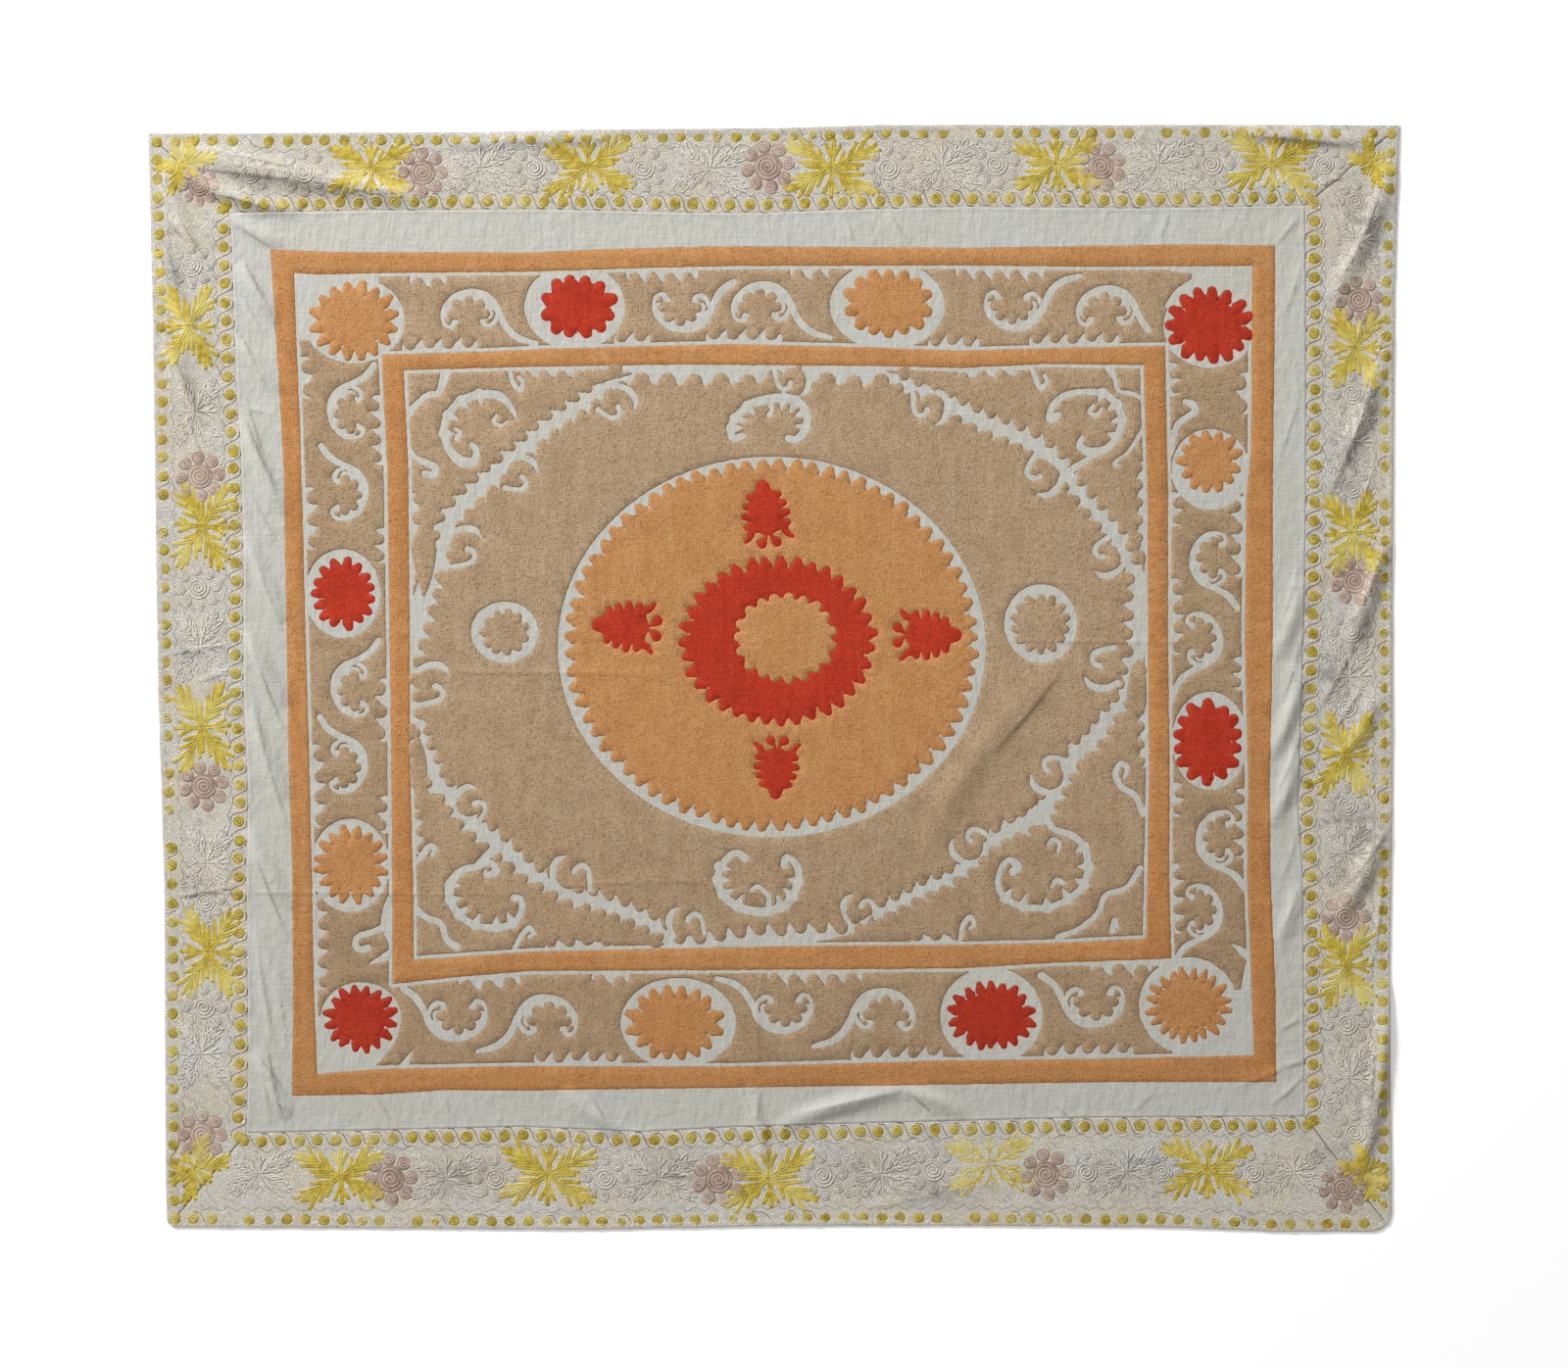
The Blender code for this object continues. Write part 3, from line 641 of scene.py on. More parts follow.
class Canvas:
    """A grid of signed distances in plan."""

    def __init__(self, low, high, cell=CELL):
        self.xs = np.arange(low[0], high[0] + cell, cell)
        self.ys = np.arange(low[1], high[1] + cell, cell)
        self.field = np.full((len(self.ys), len(self.xs)), 1.0)

    def window(self, low, high):
        """The slices of the grid that cover a box, and its points."""
        columns = slice(*np.searchsorted(self.xs, (low[0], high[0])))
        rows = slice(*np.searchsorted(self.ys, (low[1], high[1])))
        x, y = np.meshgrid(self.xs[columns], self.ys[rows])
        return (rows, columns), x, y

    def draw(self, low, high, distance, cut=False):
        """Adds a shape, or cuts it away, in the box where its distance function holds."""
        where, x, y = self.window((low[0] - REACH, low[1] - REACH), (high[0] + REACH, high[1] + REACH))
        if x.size == 0:
            return
        if cut:
            self.field[where] = np.maximum(self.field[where], -distance(x, y))
        else:
            self.field[where] = np.minimum(self.field[where], distance(x, y))

    def bar(self, start, end, radius_start, radius_end, cut=False):
        """A round-ended bar that tapers from one radius to the other."""
        run = np.subtract(end, start)
        square = max(run @ run, 1e-12)
        wide = max(radius_start, radius_end)

        def distance(x, y):
            t = np.clip(((x - start[0]) * run[0] + (y - start[1]) * run[1]) / square, 0.0, 1.0)
            away = np.hypot(x - start[0] - t * run[0], y - start[1] - t * run[1])
            return away - radius_start - t * (radius_end - radius_start)

        self.draw(np.minimum(start, end) - wide, np.maximum(start, end) + wide, distance, cut)

    def ribbon(self, path, cut=False):
        """A line of changing width: rows of x, y and radius."""
        for start, end in zip(path[:-1], path[1:]):
            self.bar(start[:2], end[:2], start[2], end[2], cut)

    def ellipse(self, centre, radii, turn=0.0, cut=False):
        """An oval, with its distance close to true near the rim."""
        cosine, sine = np.cos(turn), np.sin(turn)

        def distance(x, y):
            along = (x - centre[0]) * cosine + (y - centre[1]) * sine
            aside = (y - centre[1]) * cosine - (x - centre[0]) * sine
            ratio = np.hypot(along / radii[0], aside / radii[1])
            slope = np.hypot(along / radii[0] ** 2, aside / radii[1] ** 2)
            return ratio * (ratio - 1.0) / np.maximum(slope, 1e-6)

        wide = max(radii)
        self.draw(np.subtract(centre, wide), np.add(centre, wide), distance, cut)

    def patch(self, outline, cut=False, whole=False):
        """The inside of a closed outline. Whole measures the distance all over the canvas."""

        def distance(x, y):
            nearest = np.full(x.shape, np.inf)
            inside = np.zeros(x.shape, bool)
            for (x0, y0), (x1, y1) in zip(outline, np.roll(outline, -1, axis=0)):
                run_x, run_y = x1 - x0, y1 - y0
                t = ((x - x0) * run_x + (y - y0) * run_y) / max(run_x**2 + run_y**2, 1e-12)
                t = np.clip(t, 0.0, 1.0)
                nearest = np.minimum(nearest, np.hypot(x - x0 - t * run_x, y - y0 - t * run_y))
                if y0 != y1:
                    crossing = (y0 > y) != (y1 > y)
                    inside ^= crossing & (x < x0 + (y - y0) * run_x / run_y)
            return np.where(inside, -nearest, nearest)

        low, high = (self.xs[0], self.ys[0]), (self.xs[-1] + CELL, self.ys[-1] + CELL)
        self.draw(*((low, high) if whole else (outline.min(axis=0), outline.max(axis=0))), distance, cut)


# The lines of the two orange frames, as the embroiderer drew them: points along each line.
OUTER_FRAME_OUTSIDE = {
    "top": stroke(
        (275, 254.5), (345, 256.5), (540, 257), (620, 254), (745, 251), (980, 252.5), (1100, 250.8),
        (1200, 249), (1301, 250),
    ),
    "bottom": stroke(
        (297, 1118), (388, 1117), (455, 1112), (532, 1112.7), (745, 1110), (950, 1107), (1130, 1104),
        (1302, 1104),
    ),
    "left": stroke(
        (297, 1118), (299, 1031), (298, 887), (294.5, 779), (292, 642), (289, 477), (278, 292), (275, 254),
    ),
    "right": stroke(
        (1302, 1104), (1301.6, 1010), (1296, 890), (1295.6, 794), (1298.5, 651), (1298.5, 507),
        (1300.7, 310), (1301, 250),
    ),
}
OUTER_FRAME_INSIDE = {
    "top": stroke(
        (300, 279), (322, 280.5), (404, 279), (540, 277.5), (640, 274), (745, 271.6), (980, 271),
        (1100, 272.3), (1277, 271.5),
    ),
    "bottom": stroke(
        (324, 1095.5), (388, 1090), (532, 1087), (745, 1088), (850, 1085), (950, 1082), (1130, 1080),
        (1279, 1076),
    ),
    "left": stroke(
        (324, 1095.5), (321, 1031), (318, 887), (316, 779), (312, 642), (307.7, 477), (301, 292),
        (300, 279),
    ),
    "right": stroke(
        (1279, 1076), (1276.7, 1010), (1272, 890), (1273, 794), (1269.8, 651), (1271, 507), (1276, 460),
        (1277, 271.5),
    ),
}
INNER_FRAME_OUTSIDE = {
    "top": stroke(
        (389, 362), (500, 358.5), (560, 355.5), (628, 353.7), (745, 350.5), (892, 354), (980, 357.4),
        (1070, 354.8), (1189, 352.7),
    ),
    "bottom": stroke(
        (400, 1004), (470, 997), (540, 991), (745, 990), (850, 989), (980, 988), (1070, 983), (1195, 978.4),
    ),
    "left": stroke((400, 1004), (399.8, 916), (398.7, 779), (397, 642), (394.6, 477), (389, 362)),
    "right": stroke((1195, 978.4), (1193, 890), (1193.7, 794), (1191.7, 651), (1191.7, 507), (1189, 352.7)),
}
INNER_FRAME_INSIDE = {
    "top": stroke(
        (412, 378), (540, 374.5), (700, 372), (775, 372.8), (900, 374), (980, 375.8), (1070, 371.5),
        (1166, 373),
    ),
    "bottom": stroke(
        (422, 979), (540, 970.8), (745, 966), (870, 964), (980, 963.5), (1070, 962), (1169.4, 957.4),
    ),
    "left": stroke((422, 979), (422, 916), (418.7, 779), (418, 642), (416.6, 477), (412, 378)),
    "right": stroke((1169.4, 957.4), (1170, 890), (1172, 794), (1171, 651), (1170, 507), (1166, 373)),
}

# Bare cloth left between two areas of thread.
GAP = 0.0055

# Rosettes: where, half sizes, petals, and the bare oval round each.
Rosette = namedtuple("Rosette", "name colour centre radii petals oval_centre oval")
ROSETTES = [
    Rosette("top_left", "orange", *oval_at(361, 327, 48, 41), 16, *oval_at(361, 327, 51.5, 43.5)),
    Rosette("top_red", "red", *oval_at(590, 313, 41, 33.5), 12, *oval_at(586.4, 313, 51, 44)),
    Rosette("top_orange", "orange", *oval_at(906, 309, 48, 36), 14, *oval_at(905, 312, 58.4, 45)),
    Rosette("top_right", "red", *oval_at(1234, 332, 45.5, 39.5), 15, *oval_at(1234, 332, 47, 43)),
    Rosette("right_orange", "orange", *oval_at(1234, 471, 34, 33), 13, *oval_at(1234.7, 479, 39.5, 41)),
    Rosette("right_red", "red", *oval_at(1232.5, 757, 36, 45), 14, *oval_at(1234.3, 756, 38.5, 50)),
    Rosette("bottom_right", "orange", *oval_at(1212, 1026, 44.5, 39.5), 20, *oval_at(1212, 1026, 50, 49)),
    Rosette("bottom_red", "red", *oval_at(1011.5, 1036, 47, 35.5), 18, *oval_at(1011.5, 1036, 52, 49)),
    Rosette("bottom_orange", "orange", *oval_at(688, 1044, 51, 39), 16, *oval_at(692, 1044, 58.7, 46)),
    Rosette("bottom_left", "red", *oval_at(368, 1039, 38.5, 35.5), 16, *oval_at(368, 1039, 41, 37)),
    Rosette("left_orange", "orange", *oval_at(357.5, 882, 38.5, 41), 16, *oval_at(357, 883, 40, 47.5)),
    Rosette("left_red", "red", *oval_at(350.5, 605.5, 33.5, 38), 15, *oval_at(349.5, 605.5, 38.5, 45)),
]

# A scroll: a lobed leaf in a bare ring that ends in two hooks and runs out in a long bare tail. The
# template lies in units of the ring's radius, opening down, its tail to the right. Rows: x, y, half width.
RING = [
    (-0.50, -0.26, 0.12), (-0.66, -0.48, 0.08), (-0.92, -0.36, 0.06), (-0.99, 0.05, 0.065),
    (-0.84, 0.42, 0.075), (-0.48, 0.73, 0.09), (0.03, 0.87, 0.11), (0.55, 0.79, 0.13), (0.93, 0.50, 0.135),
    (1.15, 0.14, 0.125),
]
TAIL = [
    (1.15, 0.14, 0.11), (1.32, -0.24, 0.12), (1.58, -0.63, 0.13), (2.00, -0.93, 0.12), (2.60, -1.10, 0.08),
]
HOOK = [
    (1.12, 0.05, 0.05), (1.00, -0.26, 0.08), (0.78, -0.42, 0.08), (0.56, -0.33, 0.09), (0.58, -0.15, 0.13),
]
# The lobes of the leaf inside the ring: angles round it, and how far out their crowns and the bare
# notches between them lie along x and y.
LEAF_LOBES = [4, 46, 90, 134, 178]
LEAF_CROWN = (0.64, 0.54)
LEAF_NOTCH = (0.80, 0.68)
LEAF_ROOT = 0.32
ROOT_HALF_WIDTH = 0.22
CROWN_HALF_WIDTH = 0.20
NOTCH_HALF_WIDTH = 0.15

# How round a rosette's petals are: the tip's radius as a part of the petal's half width. More petals than
# ROUND_PETALS have the pointed tip. Their depth is a part of the rosette's half size.
ROUND_TIP = 0.76
POINTED_TIP = 0.60
ROUND_PETALS = 15
PETAL_DEPTH = 0.34

Scroll = namedtuple("Scroll", "name centre radius turn mirror tail")
BORDER_SCROLLS = [
    Scroll("top_1", at(478, 321), pixels(26.5), 0, 1, 1.0),
    Scroll("top_2", at(694, 313), pixels(27), 180, -1, 0.8),
    Scroll("top_3", at(775, 314), pixels(27.5), 0, 1, 1.0),
    Scroll("top_4", at(1032, 311.5), pixels(27), 180, -1, 1.0),
    Scroll("top_5", at(1127, 318), pixels(27.5), 0, 1, 0.6),
    Scroll("right_1", at(1238, 569), pixels(25.5), 90, -1, 0.8),
    Scroll("right_2", at(1223, 651), pixels(25), -90, 1, 1.0),
    Scroll("right_3", at(1245, 854), pixels(26), 90, -1, 0.8),
    Scroll("right_4", at(1223, 928), pixels(25), -90, 1, 0.8),
    Scroll("bottom_1", at(468, 1035), pixels(28), 180, 1, 0.9),
    Scroll("bottom_2", at(560, 1042), pixels(28), 0, -1, 1.0),
    Scroll("bottom_3", at(801, 1028), pixels(27), 180, 1, 1.0),
    Scroll("bottom_4", at(904, 1036), pixels(28.5), 0, -1, 1.0),
    Scroll("bottom_5", at(1118, 1021), pixels(28), 180, 1, 0.9),
    Scroll("left_1", at(358, 422), pixels(25), 90, 1, 0.8),
    Scroll("left_2", at(351, 505), pixels(25), -90, -1, 0.8),
    Scroll("left_3", at(362, 705), pixels(25.5), 90, 1, 0.8),
    Scroll("left_4", at(350, 783), pixels(25.5), -90, -1, 0.8),
]

# The border's four areas of tan thread: from one end to the other, and how far in they reach.
BORDER_REACH = {
    "top": (x_at(386), x_at(1216)),
    "bottom": (x_at(382), x_at(1196)),
    "left": (y_at(1036), y_at(347)),
    "right": (y_at(1010), y_at(340)),
}
BORDER_LIMITS = {"top": y_at(372), "bottom": y_at(985), "left": x_at(405), "right": x_at(1186)}

# Each side of a frame: the axis that it runs along, and the way in from it.
SIDES = (("top", 0, -1.0), ("bottom", 0, 1.0), ("left", 1, 1.0), ("right", 1, -1.0))

# Where an edge of the tan border is toothed, from the left or from the bottom.
OUTSIDE_TEETH = {
    "top": runs_at(x_at, (418, 456), (505, 532), (640, 712), (806, 846), (975, 1064), (1166, 1188)),
    "bottom": runs_at(x_at, (545, 634), (868, 962), (1066, 1156)),
    "left": runs_at(y_at, (1010, 912), (845, 758), (682, 655), (562, 495), (408, 362)),
    "right": runs_at(y_at, (875, 805), (702, 672), (590, 505), (425, 378)),
}
INSIDE_TEETH = {
    "top": runs_at(x_at, (410, 488), (626, 664), (720, 798), (948, 998), (1050, 1142)),
    "bottom": runs_at(x_at, (466, 532), (604, 642), (782, 880), (945, 968), (1110, 1176)),
    "left": runs_at(y_at, (1003, 985), (850, 812), (758, 690), (574, 540), (474, 404)),
    "right": runs_at(y_at, (952, 882), (832, 800), (668, 590), (536, 504), (402, 372)),
}
TOOTH_PITCH = 0.0336
TOOTH_LENGTH = 0.0215

# The bare channel round the field's great oval, in four slanting stretches and four straight ones.
# Rows: x, y, half width.
CHANNELS = {
    "top_left": stroke(
        (448, 573, 11), (453, 554, 11), (457, 536, 11), (467, 521, 11), (481, 505, 11), (497, 491, 11),
        (511, 479, 11), (524, 465, 10.5), (538.6, 453.8, 10), (554, 440, 10), (575, 424, 10),
        (592, 413, 10), (607, 402, 10), (620, 392.5, 9), (640, 385, 7),
    ),
    "top_right": stroke(
        (912, 386, 5), (930, 394, 7), (952, 402, 8), (972, 414, 9), (995, 426, 10), (1013, 434, 10.5),
        (1032, 442, 10.5), (1051, 451, 10.5), (1068, 463, 10), (1083, 477, 9), (1093, 492, 8.5),
        (1105, 507, 8.5), (1117, 521, 8.5), (1129, 535, 8.5), (1140, 550, 9), (1147, 566, 9),
        (1155, 582, 8),
    ),
    "bottom_right": stroke(
        (1153, 676, 7), (1150, 696, 7), (1143, 716, 8), (1128, 735, 9), (1118, 749, 10), (1107, 761, 10.5),
        (1097, 770, 10), (1089, 783, 10), (1080, 800, 10), (1069, 819, 10.5), (1057, 832, 10.5),
        (1043, 841, 10), (1024, 850, 9.5), (1002, 866, 9), (984, 884, 8.5), (966, 897, 8), (946, 905, 8),
        (926, 916, 8), (908, 925, 8), (890, 934, 6), (868, 945, 4),
    ),
    "bottom_left": stroke(
        (429, 738, 6), (432, 757, 7), (439, 778, 9), (446, 798, 10), (459, 813, 10), (472, 829, 10),
        (488, 846, 10.5), (503, 857, 10.5), (518, 869, 10.5), (532, 882, 10), (546, 893, 9.5),
        (566, 905, 9), (585, 915, 9), (604, 919, 9.5), (625, 925, 9.5), (645, 933, 9), (664, 943, 8),
        (682, 955, 7),
    ),
}
SIDE_CHANNELS = {
    "top": stroke(
        (640, 385, 7), (672, 382.5, 10), (720, 382, 11.5), (775, 381, 10), (808, 379, 6), (845, 382, 9.5),
        (880, 384.5, 10), (912, 386, 7),
    ),
    "right": stroke((1153, 579, 9), (1160, 600, 14), (1160, 625, 15), (1160, 650, 14), (1155, 675, 9)),
    "bottom": stroke(
        (682, 957, 7), (712, 959, 8), (745, 957, 11), (790, 954, 11.5), (830, 951, 10), (868, 946, 6),
    ),
    "left": stroke(
        (429, 738, 6), (424, 718, 8), (421, 697, 6), (423, 676, 8), (427, 652, 12), (432, 630, 14),
        (438, 605, 14), (446, 578, 12),
    ),
}

# The volutes along the great oval: where, radius, and the angle that faces the channel.
Volute = namedtuple("Volute", "name centre radius facing")
VOLUTES = [
    Volute("top", at(810, 387), pixels(12.5), 90),
    Volute("top_right_1", at(950, 415), pixels(13.5), 80),
    Volute("top_right_2", at(1066, 486), pixels(14.3), 45),
    Volute("top_right_3", at(1130.5, 570), pixels(13.3), 20),
    Volute("right", at(1126, 684), pixels(15), 0),
    Volute("bottom_right_1", at(1071, 792), pixels(14), -25),
    Volute("bottom_right_2", at(989, 864), pixels(14), -45),
    Volute("bottom_right_3", at(875, 928), pixels(12), -90),
    Volute("bottom_left_1", at(698.5, 943), pixels(13), -90),
    Volute("bottom_left_2", at(581, 893), pixels(14.5), -100),
    Volute("bottom_left_3", at(478.5, 820), pixels(13), -135),
    Volute("left", at(440, 696), pixels(14.5), 180),
    Volute("top_left_1", at(473, 556), pixels(14), 180),
    Volute("top_left_2", at(530, 482), pixels(13), 160),
    Volute("top_left_3", at(630.5, 410), pixels(13.2), 135),
]
# A volute's bare strokes, in units of its radius, facing up.
VOLUTE_HOOK = [
    (-1.55, 0.70, 0.18), (-1.40, -0.10, 0.16), (-1.18, -0.62, 0.17), (-0.80, -0.80, 0.18),
    (-0.42, -0.62, 0.17), (-0.28, -0.28, 0.20),
]
VOLUTE_CRESCENT = [
    (0.85, 0.95, 0.20), (1.14, 0.35, 0.20), (1.22, -0.30, 0.24), (1.02, -0.90, 0.20), (0.50, -1.30, 0.03),
]

# Bare strokes that shape the corner pieces. Rows: x, y, half width.
CORNER_STROKES = [
    # top left: the ring round the leaf, its two hooks, the gap to the small corner leaf, the vine's edge
    stroke(
        (527, 427, 1.2), (519, 412, 3), (508, 403.5, 4), (489, 402.5, 4), (470, 409, 3.6), (457, 423, 3.6),
        (453, 442, 3.6), (459, 460, 4), (471, 471, 5.5), (483, 471, 4.5), (486, 460, 3), (481, 454, 2.6),
    ),
    stroke((464, 437, 1.2), (469, 441, 2.4), (466, 447, 3)),
    stroke((507, 424, 1.4), (504, 430, 2.4), (511, 434, 1.6), (518, 430, 1)),
    stroke((457, 372, 6), (452, 388, 4), (447, 401, 3), (437, 403, 3), (427, 411, 3), (416, 422, 4)),
    stroke((519, 374, 1.5), (523, 390, 2.2), (531, 398, 2.4), (533, 389, 2), (529, 385, 1.8)),
    stroke((416, 456, 2), (424, 467, 2.6), (434, 472, 3), (444, 477, 3.4), (441, 484, 3.4), (433, 483, 3)),
    # top right
    stroke(
        (1079, 424, 3.6), (1071, 428, 3.4), (1074, 414, 3), (1085, 404, 3), (1103, 400, 3),
        (1125, 401, 3.2), (1139, 412, 3.4), (1144, 428, 3.6), (1139, 446, 3.2), (1128, 458, 3.6),
        (1112, 461, 4.4), (1102, 455, 3.4), (1104, 446, 1.6),
    ),
    stroke((1128, 458, 2), (1113, 467, 2), (1098, 476, 3), (1086, 484, 4)),
    stroke((1116, 414, 1.6), (1111, 420, 2), (1118, 424, 2.4), (1124, 417, 1.4)),
    stroke((1130, 372, 5), (1137, 386, 2.4), (1141, 399, 1.8), (1155, 402, 1.8), (1170, 410, 2.4)),
    stroke((1052, 373, 2), (1056, 385, 2.4), (1062, 396, 2.6), (1068, 389, 2.2), (1065, 383, 1.6)),
    stroke(
        (1170, 430, 2), (1160, 448, 2), (1150, 462, 1.4), (1140, 469, 1.4), (1137, 474, 2.2),
        (1142, 475, 1.4),
    ),
    # bottom right
    stroke(
        (1033, 890, 3.6), (1038, 884, 4.4), (1029, 877, 2.6), (1021, 886, 2.6), (1018, 902, 2.8),
        (1025, 916, 3), (1043, 925, 3.2), (1068, 926, 3.2), (1090, 917, 3.2), (1106, 902, 3.4),
        (1110, 884, 3.4), (1106, 864, 3.4), (1093, 852, 3.4), (1075, 846, 3), (1066, 832, 4),
        (1058, 826, 5),
    ),
    stroke((1069, 862, 1.6), (1074, 856, 2), (1081, 861, 2), (1079, 869, 1.4)),
    stroke((1073, 905, 1.4), (1078, 898, 2.4), (1085, 901, 2.2)),
    stroke(
        (1163, 886, 3), (1150, 905, 2.6), (1128, 914, 2.6), (1120, 932, 2.6), (1100, 948, 2.4),
        (1080, 956, 3),
    ),
    stroke((980, 958, 2), (982, 944, 2.4), (989, 936, 2.6), (994, 943, 2), (990, 947, 1.6)),
    stroke(
        (1147, 793, 1.6), (1150, 784, 2.6), (1143, 779, 2.6), (1138, 790, 3), (1144, 803, 3),
        (1158, 812, 3), (1166, 830, 3),
    ),
    stroke((1140, 946, 1.4), (1137, 938, 2), (1134, 950, 3)),
    # bottom left
    stroke(
        (495, 888, 1.4), (497, 893, 3), (507, 888, 3.4), (500, 880, 3), (486, 884, 3), (470, 889, 4),
        (459, 902, 4.4), (459, 918, 4), (468, 933, 3.4), (485, 944, 3.2), (506, 946, 3.2), (523, 942, 3.2),
        (532, 930, 3), (531, 918, 3), (524, 916, 3.4),
    ),
    stroke((486, 884, 3), (497, 873, 4), (508, 864, 5)),
    stroke((421, 925, 4), (434, 936, 3), (450, 942, 3), (455, 958, 3), (466, 966, 4)),
    stroke((521, 975, 2), (530, 958, 2.4), (539, 947, 2.6), (544, 952, 2.2), (540, 956, 1.8)),
    stroke((421, 884, 1.6), (430, 873, 3), (438, 863, 3), (444, 866, 2.6), (441, 872, 2)),
]

# Lobes of thread along the channels: (stretch, side, pitch, depth). Side 1 is to the left of the way
# that the stretch runs.
CHANNEL_LOBES = [
    ("top_left", 1, pixels(16), pixels(8)), ("top_left", -1, pixels(17), pixels(8)),
    ("top_right", 1, pixels(16), pixels(7.5)), ("top_right", -1, pixels(17), pixels(7)),
    ("bottom_right", 1, pixels(16), pixels(7.5)), ("bottom_right", -1, pixels(16), pixels(7.5)),
    ("bottom_left", 1, pixels(16), pixels(7.5)), ("bottom_left", -1, pixels(17), pixels(8)),
]
CHANNEL_EXTRA = 0.0034
SIDE_LOBES = [
    ("top", -1, pixels(26), pixels(12)), ("right", -1, pixels(19), pixels(12)),
    ("bottom", 1, pixels(20), pixels(13)), ("left", -1, pixels(19), pixels(12)),
]

# Leaves of the corner pieces that run out along the frame. Rows: x, y, half width.
CORNER_LEAVES = [
    stroke((432, 556, 13), (433, 575, 11), (433, 594, 6), (432, 607, 1.5)),
    stroke((425, 752, 2.5), (427, 765, 6), (428, 780, 8), (428, 798, 9)),
    stroke((1161, 677, 4), (1161, 688, 8), (1160, 702, 10), (1160, 716, 10)),
    stroke((873, 948, 2), (890, 946, 6), (912, 944, 9), (930, 944, 9)),
    stroke((600, 950, 11), (630, 951, 11), (655, 957, 6), (671, 962, 1.5)),
    stroke((905, 379, 1), (925, 381, 3), (950, 387, 7), (975, 394, 9)),
    stroke((600, 386, 9), (622, 383, 5), (643, 381, 1.5)),
]

# Teeth of the corner pieces towards the inner frame.
FIELD_TEETH = {
    "top": runs_at(x_at, (528, 600), (972, 1052)),
    "bottom": runs_at(x_at, (552, 628), (925, 985)),
    "left": runs_at(y_at, (600, 498), (874, 822)),
    "right": runs_at(y_at, (576, 468), (786, 698)),
}
FIELD_TOOTH_LENGTH = 0.0121

# Half widths of a single notch, from its wide end to its point.
CUT_WIDE = pixels(5.5)
CUT_NARROW = pixels(0.7)

# Notches between the lobes of the leaves inside the corner rings and the field's two open rings.
LEAF_CUTS = [
    (489, 402, 491, 412), (470, 409, 477, 417), (457, 423, 467, 428), (453, 442, 464, 443),
    (1125, 401, 1121, 410), (1139, 412, 1130, 418), (1144, 428, 1134, 430), (1139, 446, 1130, 442),
    (1106, 864, 1097, 869), (1110, 884, 1100, 884), (1106, 902, 1097, 897), (1090, 917, 1084, 907),
    (1068, 926, 1067, 916), (1043, 925, 1046, 914), (1025, 916, 1032, 907), (459, 902, 469, 904),
    (459, 918, 470, 916), (468, 933, 477, 925), (485, 944, 489, 933), (506, 946, 506, 935),
    (523, 942, 518, 932), (746, 437, 757, 436), (750, 427, 761, 429), (763, 414, 769, 423),
    (799, 406, 797, 417), (812, 409, 806, 419), (821, 421, 811, 425), (822, 436, 812, 434),
    (734, 884, 744, 887), (732, 897, 743, 898), (737, 912, 747, 908), (752, 924, 757, 914),
    (797, 925, 793, 914), (808, 915, 800, 907), (814, 900, 804, 897),
]

# Small hooks in the border's own leaves. Rows: x, y, half width.
BORDER_STROKES = [
    stroke(
        (1209, 410, 2.6), (1217, 413, 3.6), (1219, 420, 3.4), (1210, 426, 3), (1201, 433, 3),
        (1197, 446, 3), (1194, 462, 3),
    ),
    stroke(
        (394, 930, 3), (392, 944, 3), (380, 951, 3), (366, 955, 2.8), (362, 963, 3), (367, 969, 3),
        (375, 967, 3.6),
    ),
    stroke((1228, 268, 10), (1208, 271, 7), (1192, 271, 4.5), (1172, 270, 2)),
    stroke((1224, 289, 8), (1212, 293, 5.5), (1201, 300, 4), (1192, 312, 3)),
    stroke((384, 294, 5), (392, 297, 3), (400, 303, 2)),
    stroke((372, 1084, 9), (384, 1076, 7), (395, 1067, 4.5), (403, 1056, 3)),
    stroke((398, 915, 3), (396, 930, 5.5), (394, 945, 5), (398, 960, 2.5)),
    stroke((1277, 1012, 11), (1275, 994, 6), (1276, 975, 3)),
]
# Single notches in the border's edges.
BORDER_CUTS = [(411, 1091, 419, 1074), (399, 974, 378, 983), (1275, 976, 1257, 963), (1194, 352, 1206, 366)]

# Small rosettes in bare ovals on the field: centre, radii, petals, oval.
FIELD_ROSETTES = [
    (*oval_at(515, 645, 26.5, 24), 11, (pixels(34), pixels(31))),
    (*oval_at(1062, 636, 31, 31), 14, (pixels(37), pixels(40))),
]
# Open rings round a lobed leaf, north and south of the disc. Rows: x, y, half width.
FIELD_RINGS = [
    stroke(
        (757, 445, 3.4), (749, 447, 3.6), (745, 440, 3.2), (749, 428, 3.4), (763, 414, 4),
        (776, 408.5, 4.4), (795, 406, 4.4), (812, 409, 4), (822, 419, 3.8), (822, 436, 3.6),
        (813, 448, 3.4), (804, 447, 3.4),
    ),
    stroke((785, 411, 3), (788, 418, 2), (785, 423, 2.6)),
    stroke(
        (760, 875.5, 4), (751, 870, 3.4), (740, 877, 3.4), (732, 894.5, 3.6), (738, 914, 4),
        (757, 926.5, 4.2), (781, 930, 4.4), (803, 921, 4.2), (814, 901, 3.8), (813, 883, 3.4),
        (802, 875, 3), (800, 883, 3.4),
    ),
    stroke((766, 908, 1.8), (774, 905, 2.4), (783, 914, 2.4), (784, 927, 3)),
]

# The great disc, the red ring and what it holds.
DISC_OVAL = oval_at(787, 660, 218, 194)
DISC = (*oval_at(787, 658, 212, 190), 72, pixels(12))
RED_RING = (*oval_at(793.5, 654.5, 102, 88), 35, pixels(12))
CENTRE_ROSETTE = (*oval_at(801, 651, 53, 46), 19, pixels(9))

